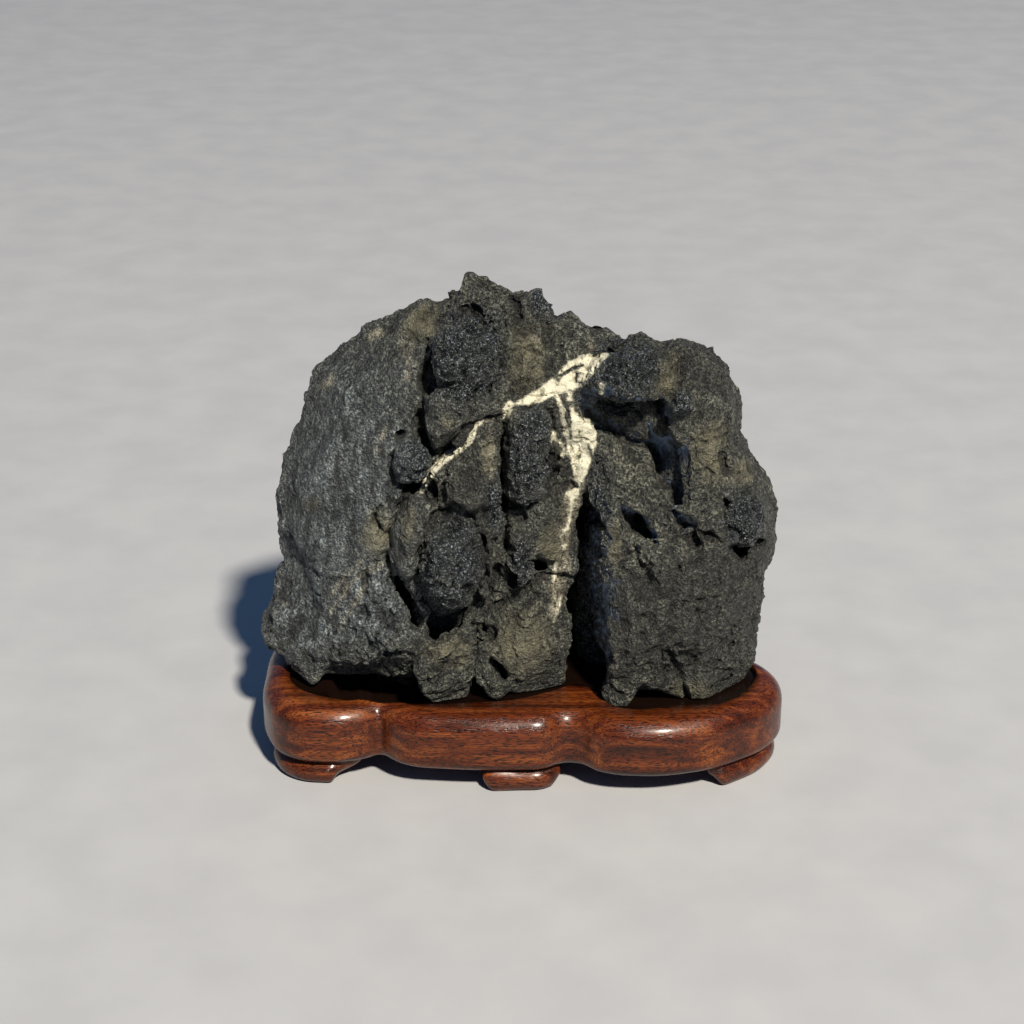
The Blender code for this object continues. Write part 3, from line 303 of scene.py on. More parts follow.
stoneMasses = {
    "leftBody": [(-45.6, -9, 4), (-47.8, 1.8, 4), (-46.6, 9.2, 5), (-42.8, 16.6, 5), (-41.4, 21.4, 5),
        (-38.4, 30.8, 6), (-33.5, 35.2, 6), (-25, 38.8, 6), (-22.2, 41.4, 5), (-18.4, 43, 5),
        (-15.6, 42.8, 3), (-15.5, 36, -5), (-17.2, 30, -9), (-18, 22, -12), (-20, 15, -13.5), (-23, 4, -12.6),
        (-24.4, -8, -13), (-34, 22, -6), (-37, 8, -8), (-37, -6, -9), (-26, -16, -14), (-38, -18, -11),
        (-42, -4, 14), (-40, 12, 15), (-34, 26, 14), (-26, 32, 13), (-16, 37, 12), (-24, 18, 19),
        (-16, 28, 16), (-30, 0, 19)],
    "lowerLeftBody": [(-46, -10.6, 3), (-48, -15.6, 2), (-49.6, -21.4, 1), (-49.2, -24.6, 0),
        (-45.4, -28, -3), (-43.6, -32, -7), (-38, -31.8, -6.5), (-36, -16, -11.5), (-29, -11, -13),
        (-26, -14, -14), (-19.6, -25.6, -16.6), (-19.4, -33.2, -9), (-31, -32.2, -8), (-37.8, -26.8, -12.4),
        (-31, -26, -15.4), (-24, -27.6, -17.4), (-20, -29.4, -17.6), (-42, -10, 12), (-43, -24, 10),
        (-34, -26, 4), (-20, -30, 4)],
    "leftTip": [(-44.4, -29, -6), (-42.8, -33.2, -8), (-40, -35.8, -10), (-38, -33.6, -10), (-37.4, -28, -12),
        (-42, -26, -9), (-40, -30, -2)],
    "leftBack": [(-43, -16, 12), (-44, -24, 9), (-43, -30, 1), (-42, -8, 14), (-30, -22, 20), (-14, -22, 21),
        (-10, 0, 21), (-22, 10, 19), (-36, 0, 16), (-12, -36, 6), (-30, -34, 2), (-12, 20, 18), (-12, -10, 0),
        (-30, -10, 0)],
    "middleCore": [(-15, 43.6, 4), (-11.4, 44.8, 3), (-4, 44.6, 3), (2.4, 44, 3), (6.6, 40.8, 4),
        (8, 38.2, 4), (-15, 34, -6), (-10, 30, -9), (0, 34, -6), (6, 31, -7), (-20, 20, -9.5), (0, 20, -10),
        (10, 22, -9), (11.6, 12, -9), (10.6, 0, -9), (10, -14, -9.5), (-21, -11, -11.5), (-4, -12, -12),
        (-21, 0, -11.5), (9, -26, -8), (-4, -26, -11), (-12, 34, 14), (4, 34, 14), (8, 20, 18), (8, -20, 21),
        (-12, -20, 21), (-6, 10, 22), (9, -36, 0), (-8, -36, -2)],
    "upperSlope": [(2, 42, 1), (8, 38, 3), (11, 39.4, 3), (13.6, 39.6, 3), (16, 38, 4), (17.4, 36.4, 4),
        (20.8, 34.6, 4), (24, 33, 4), (0, 32, -7), (4, 26, -9), (12, 31, -6), (18.4, 31.2, -5.5),
        (15.6, 24, -8), (16.6, 16, -9), (10, 18, -9.5), (8, 30, 14), (10, 20, 18), (22, 28, 12)],
    "veinFace": [(7.4, 22, -9.5), (15, 22, -9), (17, 16, -9.5), (16, 10, -9), (13.4, 5, -8.5),
        (11.8, -4, -8.5), (11.6, -16, -9), (8, 10, -10), (9, -10, -10.5), (12, 10, 4)],
    "rightCore": [(16, 22, -2), (15, 10, -1), (13.6, -24, 0), (24, 30, 2), (30, 33.4, 3), (36, 33.6, 4),
        (42, 30, 4), (44, 22, 5), (45.5, 12, 5), (49.5, 6, 5), (51, -8, 5), (46, -24, 5), (32, 24, -7),
        (36, 0, -14), (18, 20, -5), (25, 14, -8), (14, -36, 2), (38, -34, 2), (40, -20, 13), (44, -4, 12),
        (40, 16, 13), (34, 24, 12), (24, 22, 14), (12, 10, 20), (30, 0, 19), (30, -20, 20), (10, -20, 21)],
    "pinnacle": [(-11.4, 43.4, 0), (-10.4, 46, 0), (-9.6, 48.1, 1), (-6.8, 48.3, 1), (-5, 46.8, 1),
        (-3, 45.2, 1), (0.6, 44, 0), (1.6, 36, -5), (-11.8, 40, -3), (-12.4, 33, -7), (-7, 44, -3.5),
        (-9, 41, 9), (-3, 40, 9)],
    "knob": [(1.6, 44, 0), (4.4, 45, 1), (6.2, 43.6, 1), (7.2, 41.4, 1), (7.8, 38.4, 0), (5, 35, -4),
        (1.6, 36, -5), (1.2, 40, -3.5), (4.6, 41, -4), (4, 38, 8)],
    "pittedBoulder": [(-15.6, 35, -9), (-14.6, 38.2, -7.5), (-11.5, 40.2, -6.5), (-7.5, 39, -8.5),
        (-4, 35.4, -10.5), (-3.4, 29, -12), (-4.8, 25.4, -13.6), (-10, 25, -16), (-15.4, 26, -13),
        (-16.8, 30.6, -9.5), (-14, 34.4, -14.6), (-9.6, 36.4, -14), (-7.4, 33, -16.4), (-8, 28, -17.4),
        (-13.6, 29.4, -17.4), (-11.4, 33, -17.6), (-8, 30, 0)],
    "boulderFoot": [(-18.4, 22, -11), (-16, 24.8, -12.6), (-11, 26, -14.6), (-8.6, 21.6, -15.6),
        (-9.4, 15.4, -15), (-15.4, 11.6, -12.6), (-18, 16, -11.6), (-15.4, 22.4, -17.4), (-11.4, 23.4, -17.8),
        (-15.4, 16, -17), (-11, 17.4, -17.8), (-12, 18, -2)],
    "boulderShoulder": [(-10, 24.6, -14.4), (-4.2, 25.2, -13.4), (-2.4, 20.4, -12.6), (-7.2, 16.8, -13.6),
        (-10, 17, -14.6), (-6.2, 22, -15.4), (-6, 20, -2)],
    "innerBoulder": [(-13.4, 6.6, -15.6), (-12, 9.4, -15.8), (-8, 9.6, -16), (-5.6, 6, -15.6),
        (-6, 1.4, -15.6), (-10, -0.4, -15.6), (-13.2, 1.6, -15.6), (-10.8, 7, -19), (-7.6, 5.4, -19),
        (-8, 2, -18.6), (-11.6, 2.8, -18.8), (-9, 4, -6)],
    "seamKnob": [(-25, 3.4, -12), (-23.4, 4.6, -12), (-21.6, 3.4, -12.6), (-21.8, 0.8, -13),
        (-24.2, 0.2, -12.6), (-23.4, 3, -16), (-22.4, 1.8, -16.2), (-23.2, 2, -6)],
    "smallBoulder": [(-23.8, 11, -14.5), (-22.4, 14.8, -14.5), (-19.6, 15.4, -14.5), (-15.4, 10.4, -14.5),
        (-17.6, 6.4, -15), (-22.6, 5.4, -15), (-23.8, 8, -15), (-21, 12, -17.5), (-18.4, 9.4, -17.5),
        (-20, 10, -6)],
    "wedge": [(-18.4, 4.8, -14), (-14.6, 9.6, -15), (-8, 16.6, -15), (-3.6, 19, -13.5), (-2.2, 12, -14.5),
        (-2.4, 2, -15), (-7, -1.6, -15), (-13.6, -0.6, -15), (-17.4, 2, -15), (-6, 10.6, -17),
        (-5.6, 3, -17.5), (-12, 4.6, -17.2), (-8, 6, -2)],
    "ovalBoulder": [(-17.4, -5, -16), (-13.6, -1, -16), (-9, -1.2, -16), (-6.2, -6, -16), (-6.2, -14, -16.5),
        (-9.2, -19.4, -16), (-14, -20.8, -16), (-17, -18, -15), (-18.2, -11, -15), (-15, -5.4, -20.6),
        (-10, -5, -20.6), (-8.6, -12, -21.8), (-10.6, -17, -20.6), (-15, -16, -20.8), (-13, -10.4, -23.2),
        (-16.4, -11.5, -20.6), (-12, -11, -6)],
    "boulderBed": [(-24.5, -8, -12), (-16, -8, -12), (-25, -16, -14), (-24, -24, -16), (-18, -28, -16),
        (-10, -27, -14), (-8, -20, -13), (-12, -12, -13), (-20, -14, -13.4), (-18, -20, -6), (-12, -12, -4)],
    "crescentLedge": [(-20.6, 4, -14), (-23.6, -3, -13), (-24.4, -10, -13), (-20.8, -15, -14.5),
        (-18.4, -11, -19), (-18, -3, -19), (-18.4, 3.6, -17.5), (-21.4, -6, -19.8), (-20.6, 1, -18.4),
        (-21.2, -11.6, -18.8), (-20, -4, -8)],
    "aboveBoulder": [(-19.4, 4.6, -16), (-16, 1.6, -16), (-7, -0.2, -15.8), (-2.4, 1, -14.5),
        (-2.6, -8, -14.5), (-3.6, -17, -14.5), (-5, -20, -14), (-7, -8, -16), (-18.6, -4, -17), (-10, -8, -4),
        (-6.4, -18, -14.5)],
    "darkPillar": [(-0.8, 20.6, -10.5), (-0.6, 12, -13), (-0.6, 3.6, -13), (2.4, 0.6, -13), (7, 3.6, -12.5),
        (7.8, 11, -12.5), (7.8, 18.6, -11.5), (4.8, 21.6, -10.5), (1.6, 18, -15), (5.4, 17, -15), (2, 6, -16),
        (5.6, 7, -15.6), (3.4, 11, -17), (3, 10, -2)],
    "lowerPillar": [(-0.8, -2, -11.5), (2, -2.4, -13), (3.8, -9, -13), (3.6, -16, -13), (-0.6, -18, -12),
        (-1, -10, -12.5), (0.6, -6, -15), (1.6, -14, -15.2), (1, -10, -2)],
    "middleShoulder": [(1.4, 3, -12.5), (8.6, 5.6, -10.5), (11.4, 0, -9.5), (11.4, -8, -9.5), (9, -10, -11),
        (3.8, -8, -13), (3, -3, -14), (7, -1, -13.6), (8, -2, -2)],
    "lowerMiddle": [(-3.4, -19.6, -13), (2, -16, -13), (7, -12.6, -11.8), (11.6, -15, -9.5),
        (12.2, -28, -9.5), (11, -34, -8.5), (4.2, -36.4, -11), (0.2, -37.2, -12), (-3.4, -29.4, -13.5),
        (3.4, -22, -15.6), (7.6, -27, -14.5), (2, -30, -15.6), (-2.6, -24, -14.5), (5, -28, 0), (5, -37, -2)],
    "middleLeftFoot": [(-20, -28, -17), (-14, -25.4, -17), (-9, -23.4, -16), (-6.4, -26.6, -15.5),
        (-8.4, -32, -15.5), (-8.8, -38, -14), (-15.6, -39, -16.5), (-18, -37, -16), (-19.8, -32.6, -17),
        (-13.4, -31, -18.6), (-12, -30, -2), (-14, -36, -4)],
    "smallFoot": [(-6.2, -26, -13.5), (-3, -25, -14), (-0.2, -33, -14), (-0.2, -35.8, -13.5),
        (-2.8, -38.4, -15), (-5, -37, -15), (-7, -34, -14.5), (-3.8, -32, -16.2), (-4, -32, -4)],
    "rightFace": [(18, -3, -15), (24, -2, -17.5), (31, 0, -18.5), (38, 2, -18.8), (45, 0, -16),
        (49.6, -10, -9), (51, -14, -3), (49, -18.6, -3), (49, -22.2, -3), (48, -28, -4), (47.6, -31.4, -5),
        (46.4, -34, -6), (44.4, -36.4, -9), (38.6, -39.2, -13.5), (34.4, -37.8, -14.5), (27, -33.6, -17.5),
        (18.6, -33, -17.5), (16, -27.6, -13), (17.6, -18, -14.5), (19.6, -12, -18), (20, -20, -18.6),
        (28, -22, -21.5), (30, -10, -20.8), (39, -22, -20.5), (39, -8, -20.4), (45.6, -20, -15),
        (13.2, -3, -5), (12.8, -20, -4), (30, -36, -6), (30, -10, 0), (49.6, -12, 3), (47.6, -24, 3),
        (46, -31, 1), (36, -37, 0)],
    "rightFoot": [(16.6, -31, -15), (17.6, -37.6, -14.5), (20.4, -40, -17.5), (23.4, -40, -18),
        (24.6, -37, -17), (25.4, -32, -19), (19, -30, -18.2), (20, -34, -6)],
    "dome": [(29.6, 34, 0), (34.2, 35.1, 0), (37.2, 34.9, 0), (39.8, 33.7, 0), (43.4, 31.2, 1), (44.6, 27, 1),
        (45.8, 21.6, 2), (46.8, 17.6, 2), (47, 12.6, 2), (29.2, 30, -9), (33, 32.8, -7), (38, 31.6, -7),
        (42.4, 27, -7), (30.4, 22, -13.5), (32, 16, -15.5), (35, 10, -17.4), (35.4, 2, -19), (44.4, 4, -16.4),
        (45.4, 14, -9.5), (45, -9, -17.2), (36, -6, -19.8), (39, 20, -15), (36, 20, 0)],
    "rightFlank": [(46.8, 12.8, 3), (49.2, 10.4, 3), (51.4, 7.8, 2), (53.8, 2, 1), (54, -1.8, 1),
        (52.6, -7.6, 1), (51, -14, 0), (45, 12, -10), (45.4, 2, -14.5), (45.4, -10, -14.5), (50.8, 3, -8.5),
        (50.6, -6, -9), (44, 0, 8)],
    "upperLump": [(15.2, 28.8, -8.5), (13.6, 25, -10), (19.4, 32, -6), (22.4, 34.4, -3), (23.6, 36.6, -1),
        (26, 36, -1), (29, 34.4, -2), (29.4, 30, -10), (29, 22, -15), (25.6, 23.6, -17.6),
        (20.4, 23.6, -16.4), (15, 21.6, -12), (19, 29.4, -13), (25.6, 30, -14.6), (18, 28, 4), (24, 33.4, 6),
        (29.4, 33, 6), (30, 26, -4)],
    "ledge": [(16.8, 16.2, -7.4), (20, 15.6, -6.4), (24.4, 14.4, -5), (28, 12, -4.6), (30, 7.4, -9),
        (33, 2.6, -15), (33.4, -4, -18.8), (26, -3, -18.6), (18, -3, -15.6), (16.6, 3, -12.5),
        (20, 2.6, -15.6), (28, 1, -17.8), (24, 6, 0), (14.6, 6, -5), (22, 12, 2)],
    "behindGroove": [(5, 23, 10), (21, 26, 9), (4, -38, 9), (22, -38, 9), (5, 18, 20), (21, 18, 19),
        (5, -34, 20), (21, -34, 19)],
    "leftSeam": [(-31, 22, 8), (-13, 31, 5), (-13, -12, 2), (-31, -12, 4), (-30, 18, 17), (-14, 28, 15),
        (-14, -8, 20), (-30, -8, 19)],
    "backShoulder": [(-38, 10, 15), (-31, 25, 15), (-22, 20, 20), (-20, 2, 22.5), (-29, -6, 22.5),
        (-36, 0, 19), (-27, 10, 21.5), (-28, 6, 8)],
    "backBoulder": [(37, 16, 13), (26, 18, 17), (22, 4, 21.5), (27, -9, 23), (36, -7, 20), (40, 4, 16),
        (31, 5, 22), (30, 4, 8)],
    "backLedge": [(-18, -12, 23), (-8, -6, 24), (6, -8, 24.5), (12, -18, 23.5), (14, -28, 21), (-20, -26, 21),
        (-4, -16, 25.5), (-2, -16, 10)],
    "backSpine": [(-4, 38, 11), (2, 36, 12), (-2, 26, 18), (2, 12, 21.5), (-4, 2, 23), (6, 4, 22),
        (-8, 14, 20), (0, 20, 8)],
    "ovalLump": [(43, 1, -14), (45.6, 4.6, -13), (50, 2.6, -9.6), (50.8, -3, -9.6), (48, -6.8, -12),
        (43.6, -3.6, -15), (46, -1, -16.4), (48.4, -1, -14.5), (46, -1, -2)],
}

stoneLumps = {
    "glossyBump": ((33.8, 21.8, -15.6), (1.7, 2.2, 2.7), 20),
    "ridgeKnob": ((18.8, 35.2, 3), (2, 3, 2), 0),
    "leftHeel": ((-45, -22, 0), (4.6, 6, 7), 15),
    "brow": ((-19.8, 38.2, 3), (5, 5, 3), -30),
}

stoneClefts = {
    "cleftByBoulder": [(-16.2, 35, -12), (-15.8, 34, -20), (-17.6, 33, -20), (-19.2, 22.6, -20),
        (-17.2, 23, -20), (-18, 24, -8), (-17, 31, -8)],
    "longFissure": [(-2.2, 19.4, -20), (-0.4, 19, -20), (-2.6, 2, -20), (-0.4, 2, -20), (-1.4, 18, -4),
        (-1.6, 2, -4), (-2.6, -8, -20), (-0.6, -9, -20), (-1.6, -8, -6)],
    "fissureEnd": [(-2.4, -6, -20), (-0.8, -6, -20), (0.6, -14, -20), (-0.8, -15, -20), (-1, -8, -6),
        (-0.4, -13, -7)],
    "groove": [(13.6, 9, -24), (17.4, 9, -24), (20.4, -2, -26), (22, -20, -28), (20, -26, -28),
        (18.6, -34, -26), (17.4, -44, -26), (10.8, -44, -24), (11.4, -26, -24), (12.4, -12, -24), (15, 5, -5),
        (13.6, -8, 1), (13.2, -22, 3), (14.6, -44, 6), (12.6, -44, 6)],
    "recessUnderLump": [(11.8, 22.8, -30), (13.8, 25.4, -30), (20, 24.2, -30), (25.8, 23.2, -30),
        (28.8, 21.2, -30), (30, 16, -30), (27.6, 12.6, -30), (21.6, 15, -30), (17.6, 16.8, -30),
        (13.6, 18.8, -30), (13.8, 25.4, -9.5), (12, 22.8, -7), (20, 24.2, -15.4), (25.8, 23.2, -17),
        (28.8, 21.2, -16), (13.8, 19, -6), (18, 16.8, -5), (21.6, 15, -4), (27.6, 12.6, -3)],
    "recessByDome": [(28.8, 22, -30), (32.6, 16, -30), (36.8, 11, -30), (38.2, 1.6, -30), (35, 0.4, -30),
        (32, 2.4, -30), (28.6, 7.6, -30), (27.2, 12.4, -30), (26.6, 17, -30), (28.8, 22, -15),
        (32.6, 16, -17.2), (36.8, 11, -18.8), (38.2, 1.6, -20.4), (35, 0.4, -17), (32, 2.4, -12),
        (28.6, 7.6, -5), (27.2, 12.4, -2.4), (26.6, 17, -3)],
    "gapBySmallFoot": [(-7.4, -27, -22), (-6.4, -27.6, -22), (-9.2, -39, -22), (-5.4, -39, -22),
        (-7.2, -30, -9), (-7.4, -39, -6)],
    "rightArch": [(25.4, -34.6, -26), (29, -34, -26), (33, -37, -26), (33.4, -42, -26), (25, -42, -26),
        (29, -36, -9), (29, -42, -5)],
}

# hollows: the outline on the drawing, the depth of the bottom, and how much narrower the bottom is
stoneHollows = {
    "notchByBoulder": ([(-18.8, 17.4), (-17.2, 16), (-15, 13.2), (-15.6, 11.4), (-17.2, 12.8), (-18.6, 15)],
        -8, 0.8),
    "besideCrescent": ([(-24.8, 2.4), (-23, 3.4), (-23.4, -1.6), (-23.8, -6.6), (-24, -10.6), (-25.4, -11.6),
        (-25.8, -6.6), (-25.4, -1.6)], -10.5, 0.6),
    "hollowBesideBoulder": ([(-24.8, -9.6), (-22.4, -12), (-20, -15.6), (-18.4, -19), (-17.6, -25.6),
        (-19.4, -24), (-21.4, -20.6), (-23.4, -15.6)], -8, 0.75),
    "hollowUnderBoulder": ([(-18.4, -21), (-16, -20), (-13, -21.2), (-10, -20), (-8.4, -17.6), (-7.6, -19.2),
        (-9.2, -22.6), (-12.4, -24.8), (-16, -26.6), (-18, -25.2)], -8, 0.75),
    "besideInnerBoulder": ([(-16.8, 8.4), (-15.2, 6.8), (-14.2, 2.4), (-14.4, 0), (-15.8, 1.4), (-16.8, 4.4)],
        -11, 0.7),
    "gapBesideHollow": ([(-6.6, -21), (-4.4, -21), (-4.2, -25), (-6.4, -26.4)], -8, 0.7),
    "holeByMiddle": ([(-5.8, -25.6), (-3.8, -28.2), (0, -31.6), (-0.4, -35), (-2.4, -33.6), (-5, -29.6)],
        -6, 0.7),
    "blackPocket": ([(3.6, -7.6), (7, -9.6), (9.2, -11.2), (6.2, -13), (3.6, -12.2), (3, -9.6)], -4, 0.7),
    "pitAboveFoot": ([(-22, -26), (-18.2, -27), (-18.4, -28.2), (-21, -27.8)], -10, 0.6),
    "leftPit": ([(-27.8, -0.2), (-26.4, 0.6), (-25.8, -2.2), (-26.6, -4.4), (-27.8, -2.8)], -10, 0.6),
    "valleyByKnob": ([(7.2, 42.8), (8.1, 38.4), (9.6, 39), (11.6, 39.9), (11.6, 43.4)], 14, 1),
    "slotInRecess": ([(28, 14.6), (29, 14.6), (29.4, 7.6), (28.2, 8)], 0, 0.8),
    "pocketBelowLedge": ([(21.6, 2.4), (25.8, 0.8), (28.4, -1.6), (29.8, -6.2), (27.2, -7.4), (24.2, -5.8),
        (22.8, -2.6)], -10, 0.6),
    "slitOne": ([(32.6, 0), (34.2, -0.6), (37.2, -5), (37, -6.2), (35.2, -5), (33.2, -2.6)], -11, 0.7),
    "slitTwo": ([(38, -3.2), (41.2, -3.8), (42, -4.8), (40, -5.8), (37.8, -4.8)], -13, 0.7),
    "underOvalLump": ([(43.2, -4.6), (45.2, -6.6), (47.2, -8), (49, -8.8), (48, -10.4), (45.2, -10),
        (43, -7.2)], -4, 0.7),
    "pitOnFace": ([(33.2, -10.6), (34.4, -10.8), (34.6, -12), (33.6, -12.4)], -14, 0.7),
}

stoneCreases = [
    (1, 2.5, [(-11.4, 46), (-11.8, 43), (-11.4, 39.6)]),
    (1.3, 4, [(-16.2, 34), (-16.2, 31), (-17.2, 27.5), (-18.4, 25), (-17.8, 20)]),
    (1.3, 4, [(-17.8, 20), (-18.6, 17), (-16.2, 12)]),
    (1, 2.5, [(-22.4, 15.2), (-24.2, 10), (-23.2, 5.4), (-20.4, 4.6), (-17.8, 5.4), (-16, 9.4)]),
    (1.3, 2.5, [(-27, 0.4), (-27.4, -2), (-26.2, -4)]), (1, 1.5, [(-24.6, 2.2), (-24.8, 0.2)]),
    (1.5, 3.5, [(-20.6, 4), (-22.4, 0), (-24.4, -4), (-24.8, -9), (-24.2, -13)]),
    (1, 2.5, [(-17.2, 3.6), (-15.6, 1.6), (-14.2, 0), (-13.8, 5)]),
    (1.2, 3.8, [(-11.4, 1), (-15.6, -0.8), (-18.2, -6), (-18.8, -12), (-18, -17), (-15.6, -21)]),
    (1.1, 3, [(-11.4, 1), (-8.4, -1), (-6, -5), (-5.4, -12), (-7, -17.6), (-10, -20.8)]),
    (1.3, 5, [(-1, 19.6), (-1.4, 14), (-2, 8), (-1.9, 2), (-1.2, -3), (-0.8, -9), (0.2, -14)]),
    (1, 2, [(-3, -11), (-3.8, -14.4), (-4.6, -18)]),
    (1, 2.2, [(7.2, 20), (8.4, 15), (8.2, 9), (7, 4), (3, 0.2), (-0.8, 1.6)]),
    (0.9, 1.5, [(13, 5.6), (9, 4.4), (6, 2.6)]),
    (1.1, 1.8, [(27.2, 34.6), (28.6, 30.6), (28.8, 26), (29.6, 22), (31.4, 17.4)]),
    (1.4, 2.2, [(3.6, 32.8), (5.4, 31.4)]), (1, 2, [(0.6, 42.4), (1.2, 38.6)]),
    (1.4, 2, [(8.2, 38.4), (7.4, 34.6)]), (1.1, 1.6, [(17, 37), (16, 33.6)]),
    (1.2, 2, [(21.8, 34.8), (19.6, 32.2), (16, 29.8), (14.8, 26)]),
    (1.1, 1.8, [(-12.6, 40.4), (-8, 40.6), (-3.2, 36), (-2.4, 29), (-4, 24.6)]),
    (0.7, 0.9, [(-6.6, 24.9), (-10, 24.2), (-15.2, 24.8)]),
    (1, 1.8, [(-2.2, 19.6), (-8.4, 17), (-14.8, 10.4)]),
    (1.3, 3, [(43, 1.8), (42.8, -1.6), (44.6, -4.4), (47, -8), (50, -6.6)]),
    (1, 1.6, [(42.6, 11), (43.4, 8.2), (45.2, 7.6)]), (1, 1.6, [(45.2, 11.4), (47.2, 9.6)]),
    (1, 2.5, [(21.6, 1.8), (23.2, -2), (24.6, -5.6), (28.6, -6.6)]),
    (1, 3.5, [(32.4, -0.4), (35, -4), (37.2, -7)]), (0.9, 2.5, [(37.8, -4.4), (41.4, -5.6)]),
    (0.9, 1.2, [(24.6, -6), (25.4, -9.6), (27.6, -14)]), (1.2, 1.6, [(33.8, -11), (33.9, -11.9)]),
    (1, 2, [(31.4, -27.4), (33.4, -32), (35, -37)]),
    (1, 1.8, [(-4.4, -19.4), (0, -17.6), (3, -15), (6, -12.6), (11.6, -13)]),
    (1, 1.5, [(-29.6, -13), (-29.2, -20), (-29.8, -24), (-27.6, -27.4)]),
    (1, 1.5, [(-25, -28.2), (-21.2, -28.8), (-19.2, -31)]),
    (0.9, 1.2, [(-16.6, -32), (-12, -30.6), (-8, -28.4)]),
    (0.9, 1.2, [(-17.4, -34.6), (-13, -33.4), (-8.6, -31.6)]),
    (1.3, 3, [(-7.2, -27), (-7.8, -33), (-8, -39)]), (1, 0.8, [(-45.2, -8.6), (-41, -9.8), (-37.4, -10.2)]),
]

# finer creases, bedding lines and cracks, in the same way
fineCreases = [
    (0.5, 0.8, [(-16.2, -30.6), (-12.4, -29.2), (-8.6, -27.4)]),
    (0.5, 0.8, [(-17, -33.4), (-12.6, -32), (-8.6, -30)]),
    (0.5, 0.8, [(-16.8, -36), (-12.8, -34.8), (-8.8, -33.4)]),
    (0.5, 0.7, [(-15.4, -37.6), (-12, -36.6), (-9, -35.6)]),
    (0.5, 0.8, [(-43, -10), (-38, -13), (-33, -13.6), (-29, -12)]),
    (0.4, 0.7, [(-40, -16), (-36, -19), (-35.4, -25)]), (0.4, 0.6, [(-33, -14), (-32.2, -20), (-33, -27)]),
    (0.4, 0.7, [(-26.6, -8), (-26.4, -14), (-24.6, -20), (-22.4, -26)]),
    (0.4, 0.6, [(19.6, -6), (19.2, -14), (20.6, -22), (19.6, -30)]),
    (0.5, 0.8, [(27.6, -14), (29, -18), (28.4, -22)]), (0.4, 0.6, [(40, -8), (41.6, -14), (41, -20)]),
    (0.4, 0.7, [(43.6, -22), (44.6, -28), (43.4, -34)]),
    (0.4, 0.6, [(34, 33), (33, 28), (31.4, 23.6), (31.8, 20)]),
    (0.4, 0.6, [(38.4, 26), (37.6, 20), (38.6, 14)]), (0.5, 0.8, [(42, 24), (43.2, 18), (43, 12)]),
    (0.4, 0.7, [(18.8, 13.4), (20.4, 10), (20, 4), (18.6, -1)]),
    (0.4, 0.7, [(23.6, 12), (24.6, 8.4), (23.8, 4)]), (0.4, 0.7, [(2.6, 31.6), (1.6, 27), (2.4, 24)]),
    (0.4, 0.7, [(-1.6, 41), (-1, 36), (-1.6, 30)]), (0.4, 0.7, [(10.4, 37), (9.6, 33.6), (10.2, 30.6)]),
    (0.4, 0.6, [(-13, 0), (-12.4, 4), (-13, 8), (-11.2, 12)]),
    (0.4, 0.6, [(-7.6, 14), (-8.4, 9), (-7.4, 4), (-8.2, 1)]),
    (0.4, 0.6, [(-12.6, 21), (-10, 19.2), (-7, 20.4)]), (0.4, 0.6, [(5.6, -14), (4.4, -20), (6, -27)]),
    (0.4, 0.6, [(9.6, -18), (8.8, -25), (9.4, -31)]), (0.4, 0.6, [(0.4, -20), (-0.4, -26), (0.8, -29)]),
]

# the pale vein, as strands of changing width: (across, up, half width)
veinStrands = [
    [(-18.2, 3.8, 0.2), (-17.8, 4.6, 0.5), (-16.4, 7.4, 0.7), (-14.4, 10, 0.8), (-12, 11.7, 0.9),
     (-10, 12.8, 0.5), (-8.4, 14.8, 0.9), (-7.6, 16.8, 0.7), (-6.2, 18, 0.3), (-4, 18.8, 0.2)],
    [(-1.4, 18.6, 0.5), (-0.9, 20.4, 0.9), (-0.2, 21.8, 0.5)],
    [(0.8, 21.6, 0.3), (3, 22.3, 1), (6.6, 23.9, 1.3), (8, 24.6, 1.1)],
    [(6.6, 24, 1.3), (9.6, 25.4, 1.8), (12.6, 27.2, 2.5), (15, 28.8, 1.7), (17.2, 30.6, 1),
     (19.2, 31.4, 0.4)],
    [(9.8, 27.8, 0.4), (11.4, 29.4, 0.7), (13.6, 30.6, 0.6), (17, 31, 0.6)],
    [(9, 24, 0.4), (9.4, 22.2, 0.35), (10.1, 20, 0.6), (10.7, 17.4, 0.65), (11.3, 14.6, 0.6),
     (11.4, 12.6, 0.4)],
    [(11.7, 24, 0.4), (11.7, 22, 0.45), (12, 20.4, 0.4), (12.8, 18.6, 0.9), (14.3, 16.4, 2.5),
     (14.2, 14, 2.7), (13.9, 12, 2.4), (13.8, 10, 1.9), (13.6, 8, 1.3), (13.3, 6, 0.6)],
    [(15.4, 17.4, 0.8), (16.4, 16, 0.6), (16, 13.6, 0.4)],
    [(8.2, 16, 0.4), (8.8, 14, 0.9), (9.6, 12.2, 1.2), (10.4, 11.4, 0.6)],
    [(13.2, 4.8, 0.4), (12.4, 3.8, 1), (10.6, 3.4, 0.3)],
    [(12.4, 3.8, 0.6), (11.8, 1.6, 0.4), (11.6, -0.8, 0.35), (10.8, -3.4, 0.4), (9.8, -5, 0.2)],
    [(10.6, -6.6, 0.3), (10.4, -7.6, 0.2)], [(9, -10, 0.2), (8.6, -12, 0.5), (8.2, -14.2, 0.2)],
    [(9.8, -16.6, 0.15), (9.2, -19, 0.25), (8.4, -22, 0.1)],
    [(17.6, 25.6, 0.4), (18.2, 25.2, 0.5), (17.8, 23.4, 0.2)],
]

